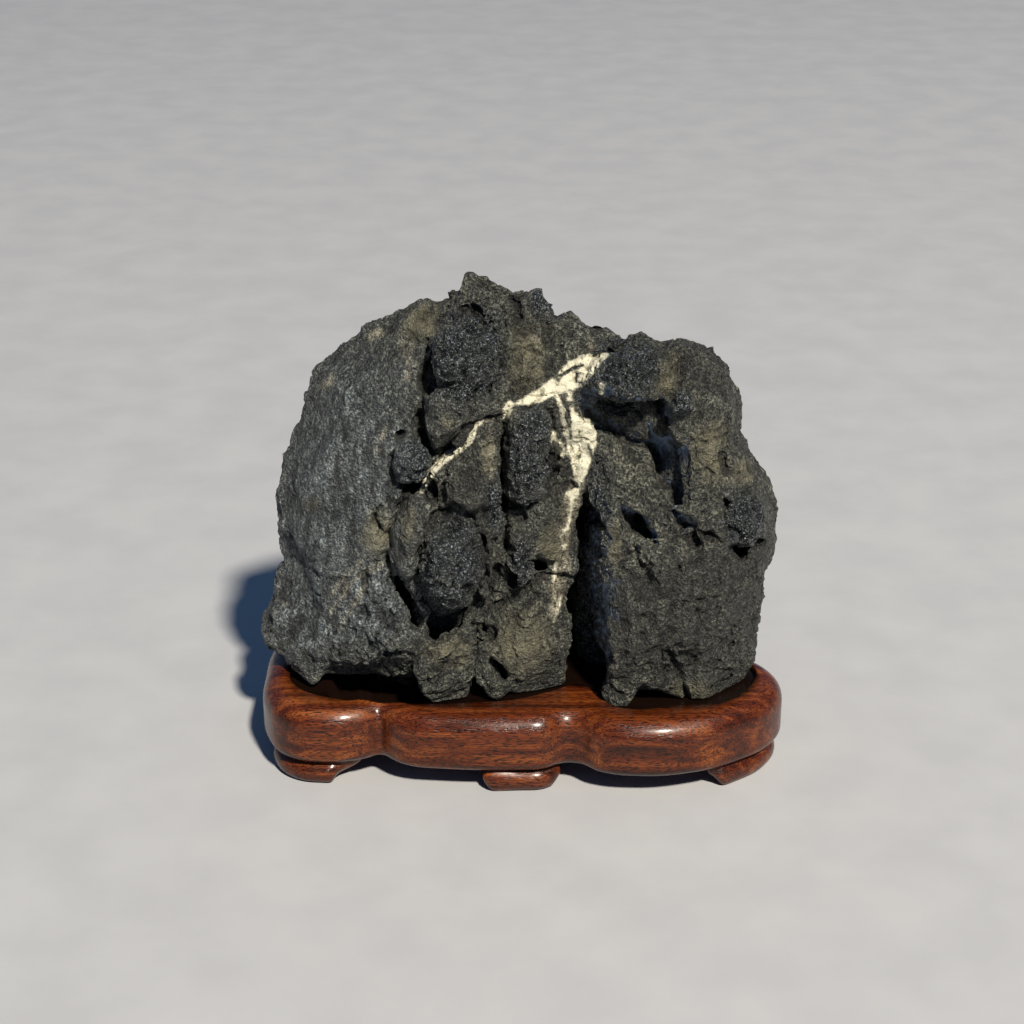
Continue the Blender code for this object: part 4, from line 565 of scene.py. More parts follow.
# rock caught inside the vein, in the same way
veinGaps = [
    [(8.9, 25.8, 0.2), (10.5, 27.6, 0.35), (12.5, 28.9, 0.45), (14.3, 29.5, 0.2)],
    [(13.4, 27.8, 0.45), (13, 26.6, 0.4)], [(13.8, 25.9, 0.35), (12.8, 26, 0.25)],
    [(11.9, 24.5, 0.4), (11.2, 24.1, 0.3)],
    [(10.6, 23.2, 0.4), (11, 19.2, 0.4), (11.8, 15.4, 0.25), (11.9, 13, 0.15)],
    [(15.2, 13.4, 0.2), (15.8, 12.2, 0.3), (15.6, 11, 0.2)], [(9.9, 15, 0.15), (10.5, 11, 0.2)],
]

# dull pale streaks and flecks in the rock, in the same way
paleStreaks = [
    [(-4.4, 15.6, 0.25), (-4.2, 11, 0.3), (-4.2, 6.4, 0.2)], [(-28.4, 35, 0.7), (-26.8, 35.8, 0.8)],
    [(-37.4, 25, 0.7), (-36.2, 26.8, 0.8)], [(-22.4, 36.4, 0.2), (-21.6, 33, 0.35), (-20.8, 29.6, 0.2)],
    [(-19.6, 34.6, 0.15), (-20.4, 30, 0.3), (-21.2, 26.4, 0.15)],
    [(-25.2, 17, 0.15), (-26.4, 14, 0.3), (-27.2, 11.4, 0.15)], [(-45.4, -18.4, 0.3), (-44.6, -18.6, 0.25)],
    [(3.2, 36.2, 0.15), (4.2, 35.2, 0.3), (5, 34, 0.15)], [(15.6, 35, 0.15), (15.6, 32, 0.25)],
    [(-36.4, -20, 0.2), (-33.4, -15.6, 0.35), (-29.4, -11.6, 0.3), (-25.4, -10.6, 0.2)],
    [(-37, -17, 0.15), (-33, -12.6, 0.3), (-29.6, -9.6, 0.2)],
    [(-34.4, -23, 0.15), (-31.6, -18, 0.3), (-29, -14, 0.2)],
    [(13.2, 6, 1.2), (11.6, 1.6, 1.4), (10.8, -3, 1), (10.6, -8, 0.7), (9.6, -12.4, 1.3), (9, -17, 1.1),
     (8.2, -21, 0.6)],
]

stoneShape = {
    "joinVoxel": 0.65,  # mm
    "fineVoxel": 0.42,
    "triangles": 190000,  # about, at the end
    "facing": 0.1,  # creases only where the surface turns to the front
    "hollowsFrom": -30.0,  # mm, where the hollows' cutters start, in front of the stone
    "gap": 0.3,  # mm to the stand
    "seatDepth": 1.5,
    "baseFade": 2.0,  # mm over which the roughness fades to nothing at the seat
}

# roughness of the rock: (size in mm, height in mm)
stoneNoise = {
    "lumps": (9.0, 0.8),
    "facets": (5.4, 2.1),
    "smallFacets": (2.5, 1.1),
    "joints": (5.4, 0.6),
    "wrinkles": (1.9, 0.55),
    "grains": (0.9, 0.26),
    "cracks": (6.0, 0.7),
    "pits": (1.7, 0.5),
}

# some of it comes in patches: their size in mm, and what sets them apart from each other
stoneThere = {
    "broken": (11.0, (4.0, 2.0, 9.0)),
    "joints": (9.0, (8.0, 3.0, 5.0)),
    "cracks": (13.0, (0.0, 0.0, 0.0)),
    "pits": (6.0, (2.0, 5.0, 1.0)),
}

# what lies where on the face, as ovals on the drawing: (across, up, half width, half height, lean)
stoneAreas = {
    "smooth": [(-32, 12, 14, 26, 12), (-37, -12, 9, 8, 0)],
    "dark": [(31, -22, 14, 14, 0), (44, -14, 7, 14, 0), (-8, -4, 4, 14, 0), (37, 30, 9, 5, 0)],
    "pale": [(21, 8, 6, 7, 10), (19.5, -4, 3, 7, 0), (13, 34, 8, 4, -20), (26, -9, 5, 4, 0),
        (-14, 18, 3, 5, 0)],
    "glossy": [(-9, 30.5, 7.4, 10.5, 10), (-19.8, 10, 4, 4.6, 0), (3.6, 11.5, 4.6, 10.5, 5),
        (-12.4, -11, 6.4, 10.8, 8), (33.8, 21.6, 2.2, 2.6, 20), (46.8, -1.6, 4.2, 5.4, 0),
        (21.6, 28, 8, 6.4, -25), (-3.6, 2, 1.8, 6, 0), (2, -10, 2.2, 5, 0), (6, 42, 2.4, 3, 0),
        (16, -12, 3.6, 24, 4)],
    "cool": [(-34, 4, 13, 26, 12), (-40, -20, 9, 11, 0), (-30, -18, 10, 10, 0)],
    # ovals where walls turned away from the key light get painted sky light
    "paintedSkyLight": [(20, 20, 9.5, 6.4, 15), (27, 17.5, 5.5, 6, 0), (32, 9, 5.5, 11.5, -15),
        (26, -3, 4, 5.4, -30), (18, -14, 4, 20, 4)],
    "dusty": [(-27, -4, 4, 7, 0), (-21, -2, 2, 6, 6), (2, -26, 8, 8.6, 0), (-13.4, 18.2, 1.4, 2.6, 0),
        (-40.2, 1.6, 2.6, 2, 0), (-13, -28, 6, 4.6, 0), (40, 12, 5, 8, 0), (31, 27, 3, 7, 10),
        (3, 30, 5, 9, 0), (-18, 38, 5, 5, 0), (8, -6, 3, 6, 0), (46, 8, 3, 4, 20), (-5, 11, 1.8, 5.4, 0),
        (20, -6, 3, 6, 0), (36, -36, 6, 3, 0)],
}


def joinMasses():
    bm = bmesh.new()
    for points in stoneMasses.values():
        addHull(bm, points)
    for centre, halfSizes, lean in stoneLumps.values():
        turn = Matrix.Rotation(math.radians(lean), 4, "Y")
        size = Matrix.Diagonal((*(length * mm for length in halfSizes), 1.0))
        place = Matrix.Translation(placed(*centre)) @ turn @ size
        bmesh.ops.create_icosphere(bm, subdivisions=3, radius=1.0, matrix=place)
    stone = objectFrom(bm, "stone_rock")
    addModifier(stone, "REMESH", {"mode": "VOXEL", "voxel_size": stoneShape["joinVoxel"] * mm})
    bake(stone)
    return stone


def cutClefts(stone):
    cutters = []
    for points in stoneClefts.values():
        bm = bmesh.new()
        addHull(bm, points)
        cutters.append(objectFrom(bm, "cleft"))
    for outline, depth, narrower in stoneHollows.values():
        middle = np.mean(outline, axis=0)
        bottom = middle + narrower * (np.array(outline) - middle)
        bm = bmesh.new()
        mouth = [(across, up, stoneShape["hollowsFrom"]) for across, up in outline]
        addHull(bm, mouth + [(across, up, depth) for across, up in bottom])
        cutters.append(objectFrom(bm, "hollow"))
    cutWith(stone, cutters)


def trimToSeat(stone):
    # what stands over the rim stops above it, and the rest goes down into the seat
    gap, top = stoneShape["gap"] * mm, standShape["top"] * mm
    floor = top - stoneShape["seatDepth"] * mm
    rim = slab("rim", outlinePoints(standOutline, 3), -top, top + gap)
    room = slab("room", inset(outlinePoints(seatOutline, 3), 1.4 * gap), floor + gap, 2 * top)
    cutWith(rim, [room])
    cutWith(stone, [rim])


def scoop(place, size):
    # shallow scoops that lean at random and meet in sharp ridges, the way this stone breaks;
    # also how far the place is from the border between two
    cell = place / size
    distances, seeds = noise.voronoi(cell)
    lowest = 9.0
    for distance, seed in zip(distances, seeds):
        lean = noise.cell_vector(seed * 9.7)
        lean = Vector((lean.x - 0.5, lean.y - 0.5, lean.z - 0.5))
        lowest = min(lowest, distance * distance + 0.9 * (cell - seed).dot(lean) + 0.4 * lean.z)
    return min(lowest, 0.42) - 0.24, distances[1] - distances[0]


def warped(points, size, amount):
    # points in mm moved by smooth noise, so that nothing stays straight
    count = points.shape[1]
    places = np.pad(points, ((0, 0), (0, 3 - count)))
    return points + amount * np.array([noise.noise_vector(Vector(place) / size)[:count] for place in places])


def bendMasses(stone):
    points, _, _ = meshArrays(stone.data)
    movePoints(stone.data, warped(points / mm, 8.0, 0.9) * mm)


def pressCreases(stone):
    points, normals, _ = meshArrays(stone.data)
    places = warped(warped(drawnAll(points), 3.4, 0.5), 1.3, 0.2)
    facing = normals[:, 1] < stoneShape["facing"]
    push = np.zeros(len(points))
    for halfWidth, depth, line in stoneCreases + fineCreases:
        corners = np.array(line)
        low, high = corners.min(axis=0) - halfWidth, corners.max(axis=0) + halfWidth
        near = np.flatnonzero(facing & ((places > low) & (places < high)).all(axis=1))
        if len(near):
            strand = [(*corner, halfWidth) for corner in line]
            share = strandDepth(places[near], strand, halfWidth) / halfWidth
            push[near] = np.maximum(push[near], depth * np.clip(share, 0.0, 1.0))
    uneven = np.array([noise.noise(Vector(point) / (2.6 * mm)) for point in points])
    points[:, 1] += push * np.clip(0.75 + 0.9 * uneven, 0.15, 1.3) * mm
    movePoints(stone.data, points)


def weather(stone):
    # moves each point along its normal by several sizes of roughness
    points, normals, edges = meshArrays(stone.data)
    places = drawnAll(points)
    front = np.clip((0.3 - normals[:, 1]) / 0.4, 0.0, 1.0)
    calm = 1.0 - 0.75 * inside(places, stoneAreas["smooth"]) * front
    sheen = inside(places, stoneAreas["glossy"]) * front
    heights = np.zeros(len(points))
    size = {name: pair[0] * mm for name, pair in stoneNoise.items()}
    height = {name: pair[1] for name, pair in stoneNoise.items()}
    patches = {name: (pair[0] * mm, Vector(pair[1])) for name, pair in stoneThere.items()}
    for index, point in enumerate(points):
        place = Vector(point)
        there = {name: noise.noise(place / width + off) for name, (width, off) in patches.items()}
        lumps = height["lumps"] * noise.noise(place / size["lumps"])
        bent = place + 0.9 * mm * noise.noise_vector(place / size["smallFacets"])
        broken = min(1.3, max(0.35, 0.9 + 1.2 * there["broken"]))
        wide, border = scoop(bent, size["facets"])
        small, _ = scoop(bent, size["smallFacets"])
        facets = min(0.75, height["facets"] * wide + height["smallFacets"] * broken * small)
        if there["joints"] > 0.05:
            facets -= height["joints"] * max(0.0, 1.0 - border / 0.1)
        grains = height["grains"] * noise.noise(place / size["grains"])
        folds = 1.0 - 3.0 * abs(noise.noise(place / size["wrinkles"] + Vector((1.3, 6.2, 0.4))))
        grains += height["wrinkles"] * sheen[index] * folds
        line = abs(noise.noise(place / size["cracks"] + Vector((7.3, 1.9, 4.4))))
        crack = height["cracks"] * max(0.0, 1.0 - line / 0.045) * (there["cracks"] > 0.0)
        pit = max(0.0, 0.34 - noise.voronoi(place / size["pits"] + Vector((3.1, 8.2, 5.7)))[0][0]) / 0.34
        pits = height["pits"] * pit * max(0.0, there["pits"] + 0.15)
        heights[index] = lumps + facets * calm[index] + grains - (crack + pits) * calm[index]
    fade = (points[:, 2] / mm - standShape["top"] - stoneShape["gap"]) / stoneShape["baseFade"]
    heights *= np.clip(fade, 0.0, 1.0)
    points += normals * (heights * mm)[:, None]
    movePoints(stone.data, points)


def keepInside(mesh, low, high):
    # no point stands outside the solid's own box
    points, _, _ = meshArrays(mesh)
    movePoints(mesh, np.clip(points, np.array(low), np.array(high)))


def paintStone(stone):
    points, normals, edges = meshArrays(stone.data)
    drawn = drawnAll(points)
    places = warped(warped(drawn, 4.0, 0.7), 1.4, 0.3)
    front = np.clip((0.35 - normals[:, 1]) / 0.35, 0.0, 1.0)
    vein = np.full(len(points), -4.0)
    for strand in veinStrands:
        vein = np.maximum(vein, strandDepth(warped(drawn, 3.0, 0.3), strand))
    for strand in veinGaps:
        vein = np.minimum(vein, -1.6 * strandDepth(warped(drawn, 2.0, 0.25), strand))
    paint(stone.data, "vein", np.where(front > 0.3, vein, -4.0))
    paint(stone.data, "dust", blurred(inside(places, stoneAreas["dusty"], 0.6) * front, edges, 3))
    stainAndSeatShade = np.full(len(points), -4.0)
    for strand in paleStreaks:
        stainAndSeatShade = np.maximum(stainAndSeatShade, strandDepth(places, strand))
    paint(stone.data, "stainAndSeatShade", np.clip(0.5 + stainAndSeatShade, 0.0, 1.0) * front)
    tone = inside(places, stoneAreas["pale"], 0.5) - inside(places, stoneAreas["dark"], 0.4)
    paint(stone.data, "tone", blurred(tone * front, edges, 5))
    paint(stone.data, "cool", blurred(inside(places, stoneAreas["cool"], 0.5) * front, edges, 3))
    # painted sky light: walls in the ovals that turn away from the key light are marked, for a lighter
    # blue-grey in the material
    keyLightWay = np.array((0.24, -0.64, 0.73))
    awayFromKeyLight = np.clip((0.3 - normals @ keyLightWay) / 0.3, 0.0, 1.0)
    paintedSkyLight = inside(drawn, stoneAreas["paintedSkyLight"], 0.2) * awayFromKeyLight * front
    paint(stone.data, "paintedSkyLight", blurred(paintedSkyLight, edges, 1))
    paint(stone.data, "gloss", blurred(inside(places, stoneAreas["glossy"], 0.25) * front, edges, 2))
    # edges and hollows: how far each point stands out from a blurred copy of the surface; the material paints
    # shade into the hollows from it
    mean = np.stack([blurred(points[:, axis], edges, 14) for axis in range(3)], axis=1)
    proud = ((points - mean) * normals).sum(axis=1) / mm
    paint(stone.data, "proud", np.clip(proud / 0.5, -1.0, 1.0))


def makeStone():
    stone = joinMasses()
    print("stone: masses joined", len(stone.data.polygons))
    cutClefts(stone)
    keepLargestShell(stone.data)
    addModifier(stone, "REMESH", {"mode": "VOXEL", "voxel_size": stoneShape["joinVoxel"] * mm})
    addModifier(stone, "SMOOTH", {"factor": 0.5, "iterations": 3})
    bake(stone)
    bendMasses(stone)
    trimToSeat(stone)
    print("stone: clefts cut")
    addModifier(stone, "REMESH", {"mode": "VOXEL", "voxel_size": stoneShape["fineVoxel"] * mm})
    addModifier(stone, "SMOOTH", {"factor": 0.5, "iterations": 2})
    bake(stone)
    keepLargestShell(stone.data)
    pressCreases(stone)
    weather(stone)
    print("stone: weathered", len(stone.data.polygons))
    addModifier(stone, "DECIMATE", {"ratio": stoneShape["triangles"] / (2 * len(stone.data.polygons))})
    bake(stone)
    inTriangles(stone.data, 3)
    keepLargestShell(stone.data)
    keepInside(stone.data, *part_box("stone"))
    paintStone(stone)
    stone.data.polygons.foreach_set("use_smooth", [True] * len(stone.data.polygons))
    stone.data.set_sharp_from_angle(angle=math.radians(40.0))
    stone.data.update()
    print("stone: done", len(stone.data.polygons))
    return stone


# the stand: one carved and polished block with a lobed outline, a shallow seat and six low feet

standOutline = [
    (-53, 0), (-51.8, -13), (-47, -20.4), (-39.5, -22.4), (-32.5, -21.3), (-28.6, -19.2, "cusp"),
    (-24, -23.2), (-15, -25), (-1, -25.3), (4.2, -24.8), (8, -22.6), (10.6, -22.8), (14.4, -25.9),
    (22, -27.7), (33, -26.4), (43, -21.6), (50, -15), (52.3, -8), (50.8, -1.5), (46, 4.5, "cusp"), (46, 12.5),
    (41, 20), (31, 25), (20, 26), (11, 23.6, "cusp"), (2, 26.8), (-10, 27.7), (-20, 26), (-27, 21.5, "cusp"),
    (-33.5, 24.2), (-42, 23.6), (-49, 18.5), (-52.4, 9.5),
]

standFeet = {
    "leftFront": ((-60, -30, -36, -4), 8),
    "middleFront": ((-9.2, 8.2, -36, -10.5), 2),
    "rightFront": ((34.8, 60, -36, -4), 4),
    "leftBack": ((-60, -32.5, 6, 40), 4),
    "middleBack": ((-14, 5, 12, 40), 2),
    "rightBack": ((26.5, 60, 7, 40), 4),
}

seatOutline = [
    (-47.5, -2), (-46.5, -10), (-40, -15.5), (-30, -17), (-19, -18.6), (-10, -18), (-2, -16.8), (6, -13),
    (11, -10.5), (15.5, -17), (20, -20.4), (30, -19.4), (39, -17.6), (45.5, -11), (47, -3), (42.5, 6),
    (40, 14), (30, 19.5), (12, 19), (-8, 21.5), (-24, 18.5), (-38, 19), (-46, 9),
]

# the seat is carved deeper in front, on the left
deepSeat = [
    (-38.5, -13.6), (-35, -15.4), (-30, -16.2), (-24, -16.8), (-20.4, -16), (-20, -8), (-24, 0), (-34, 0),
    (-39, -6),
]

standShape = {
    "top": 17.0,  # mm
    "bottom": 5.0,  # underside of the body, above the feet
    "topRounding": 4.2,
    "lowerRounding": 2.2,
    "spacing": 0.16,  # mm between points of the outline
    "cuspRounds": 26,  # how softly the notches are carved
    "deeperBy": 4.0,  # of the seat, in front
    "footInset": 1.0,
    # (height, pull in) in mm: a cushion under a narrower neck
    "footProfile": [(0.0, 1.6), (0.2, 1.0), (0.6, 0.5), (1.2, 0.15), (2.0, 0.0), (2.8, 0.05), (3.4, 0.3),
                    (3.9, 0.7), (4.3, 1.2), (4.7, 1.6), (5.2, 1.8), (7.4, 1.8)],
    "footPoints": 120,
}


def softened(loop, rounds):
    for _ in range(rounds):
        loop = 0.5 * loop + 0.25 * (np.roll(loop, 1, axis=0) + np.roll(loop, -1, axis=0))
    return loop


def bridge(bm, rings):
    # quads between loops of the same number of points, each a list of BMVerts
    for lower, upper in zip(rings, rings[1:]):
        count = len(lower)
        for index in range(count):
            after = (index + 1) % count
            bm.faces.new((lower[index], lower[after], upper[after], upper[index]))


def ringAt(bm, loop, height):
    return [bm.verts.new((x, y, height * mm)) for x, y in loop]


def roundedProfile():
    # (inset, height) in mm from the underside, up the side and over the top edge
    shape = standShape
    profile = []
    for step in range(7):
        turn = math.radians(90.0 * step / 6)
        profile.append((shape["lowerRounding"] * (1 - math.sin(turn)),
                        shape["bottom"] + shape["lowerRounding"] * (1 - math.cos(turn))))
    low, high = shape["bottom"] + shape["lowerRounding"], shape["top"] - shape["topRounding"]
    for share in (0.25, 0.5, 0.75):
        profile.append((0.0, low + share * (high - low)))
    for step in range(13):
        turn = math.radians(90.0 * step / 12)
        profile.append((shape["topRounding"] * (1 - math.cos(turn)),
                        high + shape["topRounding"] * math.sin(turn)))
    return profile


def withinLoop(points, loop):
    # which points lie inside a closed outline
    held = np.zeros(len(points), dtype=bool)
    for (ax, ay), (bx, by) in zip(loop, np.roll(loop, -1, axis=0)):
        if ay == by:
            continue
        crosses = (ay > points[:, 1]) != (by > points[:, 1])
        held ^= crosses & (points[:, 0] < ax + (points[:, 1] - ay) * (bx - ax) / (by - ay))
    return held


def reach(centre, angle, loop):
    # how far a ray from the centre goes before it leaves the loop
    way = np.array([math.cos(angle), math.sin(angle)])
    a = loop - centre
    edge = np.roll(loop, -1, axis=0) - loop
    cross = way[0] * edge[:, 1] - way[1] * edge[:, 0]
    cross = np.where(np.abs(cross) < 1e-12, 1e-12, cross)
    along = (a[:, 0] * edge[:, 1] - a[:, 1] * edge[:, 0]) / cross
    share = (a[:, 0] * way[1] - a[:, 1] * way[0]) / cross
    hits = along[(along > 0) & (share >= 0) & (share <= 1)]
    return hits.min() if len(hits) else 0.0


def makeFoot(bm, loop, limits, lean):
    # a low pad inside the outline, its inner sides flaring up into the body
    shape = standShape
    left, right, front, back = (limit * mm for limit in limits)
    drop = lean * mm

    def corners(by):
        return np.array([(left + by, front + by), (right - by, front + by),
                         (right - by, back - by), (left + by, back - by)])

    low = corners(drop)
    held = loop[((loop > low[0]) & (loop < low[2])).all(axis=1)]
    inner = np.array([np.clip(0.0, low[0, 0], low[1, 0]), np.clip(0.0, low[0, 1], low[2, 1])])
    centre = 0.5 * (held.mean(axis=0) + inner)
    angles = np.arange(shape["footPoints"]) * 2 * math.pi / shape["footPoints"]
    outline = np.array([reach(centre, angle, loop) for angle in angles])
    below = np.minimum(outline, [reach(centre, angle, low) for angle in angles])
    above = np.minimum(outline, [reach(centre, angle, corners(0.0)) for angle in angles])
    for _ in range(3):
        below = 0.5 * below + 0.25 * (np.roll(below, 1) + np.roll(below, -1))
        above = 0.5 * above + 0.25 * (np.roll(above, 1) + np.roll(above, -1))
    above = np.minimum(np.maximum(above, below), outline)
    rings = []
    way = np.stack([np.cos(angles), np.sin(angles)], axis=1)
    for height, pullIn in shape["footProfile"]:
        share = min(1.0, height / shape["bottom"])
        radii = below + share * (above - below) - pullIn * mm
        rings.append(ringAt(bm, centre + way * radii[:, None], height))
    bridge(bm, rings)
    bm.faces.new(list(reversed(rings[0])))
    bm.faces.new(rings[-1])


def makeStand():
    shape = standShape
    raw = resampled(outlinePoints(standOutline, 24), shape["spacing"] * mm)
    loop = resampled(softened(raw, shape["cuspRounds"]), shape["spacing"] * mm)
    bm = bmesh.new()
    rings = [ringAt(bm, inset(loop, distance * mm), height) for distance, height in roundedProfile()]
    bridge(bm, rings)
    bm.faces.new(list(reversed(rings[0])))
    bm.faces.new(rings[-1])
    stand = objectFrom(bm, "stand_rosewood")
    bm = bmesh.new()
    coarse = resampled(softened(raw, 12), 0.5 * mm)
    for limits, lean in standFeet.values():
        makeFoot(bm, inset(coarse, shape["footInset"] * mm), limits, lean)
    bmesh.ops.recalc_face_normals(bm, faces=bm.faces)
    feet = objectFrom(bm, "feet")
    floor = (shape["top"] - stoneShape["seatDepth"]) * mm
    seatLoop, deepLoop = (resampled(outlinePoints(drawn, 10), 0.7 * mm) for drawn in (seatOutline, deepSeat))
    seat = slab("seat", seatLoop, floor, 2 * shape["top"] * mm)
    deeper = slab("deeper", deepLoop, floor - shape["deeperBy"] * mm, 2 * shape["top"] * mm)
    cutWith(stand, [feet], "UNION")
    cutWith(stand, [seat, deeper])
    inTriangles(stand.data, 4)
    keepInside(stand.data, *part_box("stand"))
    points, _, _ = meshArrays(stand.data)
    # painted shade: the seat's floor and walls are marked, for the near-black paint in the wood's material
    held = withinLoop(points, inset(seatLoop, -0.2 * mm))
    held &= (points[:, 2] < (shape["top"] - 0.8) * mm) & (points[:, 2] > (shape["bottom"] + 1.0) * mm)
    paint(stand.data, "seat", held.astype(float))
    stand.data.polygons.foreach_set("use_smooth", [True] * len(stand.data.polygons))
    addModifier(stand, "WEIGHTED_NORMAL", {"keep_sharp": True, "weight": 50})
    stand.data.update()
    print("stand: done", len(stand.data.polygons))
    return stand


# materials

def newMaterial(name):
    # a material, the function that adds a node to it, and its shader
    made = bpy.data.materials.new(name)
    made.use_nodes = True
    return made, partial(addNode, made.node_tree), made.node_tree.nodes["Principled BSDF"]


def inMillimetres(add):
    # object coordinates, one unit to the millimetre
    where = add("TexCoord").node.outputs["Object"]
    return add("VectorMath", {"Vector": where, "Scale": 1 / mm}, operation="SCALE")


def attributeOf(add, name):
    return add("Attribute", attribute_name=name).node.outputs["Fac"]


def weatheredLimestone():
    # black limestone, weathered in the ground and left unpolished: dull, granular, with earthy dust on its
    # faces, and a darker skin, glossy where lumps were rubbed smooth, with pale flecks on it painted as
    # glints.
    # Its vein is pale calcite. Shade is painted into its hollows, and sky light onto walls turned from the
    # key light
    look = {
        "dark": "#0b0d0e", "middle": "#2d2f29", "light": "#67665a", "fleckAndGlint": "#8f979e",
        "coolDark": "#171c20", "coolMiddle": "#40474a", "coolLight": "#7a7e79",
        # 93a6c0 is painted sky light, for the walls turned away from the key light
        "dust": "#3b392c", "paleDust": "#6d6954", "stainAndSeatShade": "#938d7a", "skyLitShade": "#93a6c0",
        "skin": "#0f151b", "vein": "#c6c2ac", "veinShade": "#8d8a72", "inclusion": "#2c2c28",
        # widths in mm
        "grain": 0.55,  # clusters of grains, with the grains themselves half and a quarter as wide
        "patch": 5.0,  # clouds of darker and lighter rock
        "mottle": 1.7,  # darker and lighter spots on the cool faces
        "fleckSize": 0.36,  # pale mineral grains, and glints painted on the rubbed skin
        "chip": 2.0,  # the widest of the small chips
        "stir": 1.6,  # what bends the chips' edges, by up to about the next
        "stirred": 1.2,
        "edge": 0.28,  # how far the vein's edge wanders
        "fine": 0.42,  # the finest relief
        "relief": 0.85,  # its height
        # shares of one
        "skinCover": 0.63,  # how much of the rock's own colour the rubbed skin hides
        "dustCover": 0.8,
        "stainCover": 0.85,
        "fleckCover": 0.45,
        "dull": 0.6,  # roughness of the bare rock
        "rubbed": 0.22,  # roughness of the rubbed skin
        "veinRelief": 0.4,  # how much of the relief the vein has
    }
    made, add, shader = newMaterial("weathered_limestone")
    colours = {"data_type": "RGBA"}
    tint = {"data_type": "RGBA", "blend_type": "MULTIPLY"}
    place = inMillimetres(add)
    names = ("vein", "dust", "stainAndSeatShade", "tone", "cool", "paintedSkyLight", "gloss", "proud")
    vein, dust, stainAndSeatShade, tone, cool, paintedSkyLight, gloss, proud = (attributeOf(add, name) for name in names)

    grains = add("TexNoise", [place, 1 / look["grain"], 5.0, 0.78])
    clouds = add("TexNoise", [place, 1 / look["patch"], 4.0, 0.6])
    rock = add("ValToRGB", [grains], [(0.4, look["dark"]), (0.5, look["middle"]), (0.61, look["light"])])
    coolRock = add("ValToRGB", [grains],
                   [(0.38, look["coolDark"]), (0.5, look["coolMiddle"]), (0.62, look["coolLight"])])
    eitherRock = add("Mix", [cool, rock, coolRock], **colours)
    darker = add("MapRange", [clouds, 0.35, 0.65, 0.55, 1.0])
    # the cool faces are mottled, drawn out along the bedding
    bedding = add("Mapping", {"Vector": place, "Rotation": (0.0, 0.3, 0.0),
                              "Scale": (1 / look["mottle"], 1 / look["mottle"], 0.28 / look["mottle"])})
    mottle = add("TexNoise", [bedding, 1.0, 4.0, 0.62, 2.0, 0.4])
    mottled = add("MapRange", [mottle, 0.38, 0.62, 0.3, 1.75])
    bedded = add("MapRange", [cool, 0.0, 1.0, 0.45, 1.0])
    mottledWhere = add("Mix", [bedded, 1.0, mottled], data_type="FLOAT")
    painted = add("MapRange", [tone, -1.0, 1.0, 0.6, 1.4])
    toned = add("Math", [mottledWhere, painted], operation="MULTIPLY")
    bothTones = add("Math", [darker, toned], operation="MULTIPLY")
    clouded = add("Mix", [1.0, eitherRock, bothTones], **tint)

    # dust lies in patches, thicker where the clouds are light
    dustPatches = add("Math", [grains, 1.4, clouds], operation="MULTIPLY_ADD")
    dustAmount = add("Math", [dust, dustPatches], operation="MULTIPLY")
    dustGrain = add("MapRange", [dustAmount, 0.66, 1.25, 0.0, look["dustCover"]])
    dustColour = add("Mix", [grains, look["dust"], look["paleDust"]], **colours)
    dusted = add("Mix", [dustGrain, clouded, dustColour], **colours)

    # the rubbed skin of the lumps
    skinAmount = add("Math", [gloss, look["skinCover"]], operation="MULTIPLY")
    skinned = add("Mix", [skinAmount, dusted, look["skin"]], **colours)

    # pale mineral grains over all of it, thicker on the rubbed skin as painted glints, and dull streaks
    specks = add("TexNoise", [place, 1 / look["fleckSize"], 1.0, 0.5])
    flecked = add("MapRange", [specks, 0.57, 0.7, 0.0, look["fleckCover"]])
    fleckAndGlintWhere = add("Math", [gloss, 0.8, 0.2], operation="MULTIPLY_ADD")
    fleckAndGlintAmount = add("Math", [flecked, fleckAndGlintWhere], operation="MULTIPLY")
    speckled = add("Mix", [fleckAndGlintAmount, skinned, look["fleckAndGlint"]], **colours)
    broken = add("MapRange", [grains, 0.38, 0.58, 0.0, look["stainCover"]])
    stainAmount = add("Math", [stainAndSeatShade, broken], operation="MULTIPLY")
    stainedAndSeatShaded = add("Mix", [stainAmount, speckled, look["stainAndSeatShade"]], **colours)

    # painted shade: hollows darker, and edges a little lighter as wear; the small chips the same way, darker
    # where they lie low in the bump
    hollowShadeAndWear = add("MapRange", [proud, -0.7, 0.7, 0.4, 1.4])
    hollowShadedAndWorn = add("Mix", [1.0, stainedAndSeatShaded, hollowShadeAndWear], **tint)
    stir = add("TexNoise", [place, 1 / look["stir"], 2.0]).node.outputs["Color"]
    chipPlace = add("VectorMath", [stir, (look["stirred"],) * 3, place], operation="MULTIPLY_ADD")
    chips = add("TexVoronoi", [chipPlace, 1 / look["chip"], 3.0, 0.75])
    # painted shade: darker where the chips lie low in the bump, lighter on their ridges as wear
    chipShade = add("MapRange", [chips, 0.15, 0.75, 0.48, 1.4])
    chipShaded = add("Mix", [1.0, hollowShadedAndWorn, chipShade], **tint)

    # painted sky light: walls turned away from the key light are painted a lighter blue-grey, in patches and
    # away from the edges
    skyLightPatch = add("MapRange", [chips, 0.15, 0.55, 0.2, 1.0])
    awayFromEdges = add("MapRange", [proud, -0.2, 0.35, 1.0, 0.0])
    skyLightWhere = add("Math", [paintedSkyLight, awayFromEdges], operation="MULTIPLY")
    skyLightAmount = add("Math", [skyLightWhere, skyLightPatch], operation="MULTIPLY")
    shaded = add("Mix", [skyLightAmount, chipShaded, look["skyLitShade"]], **colours)

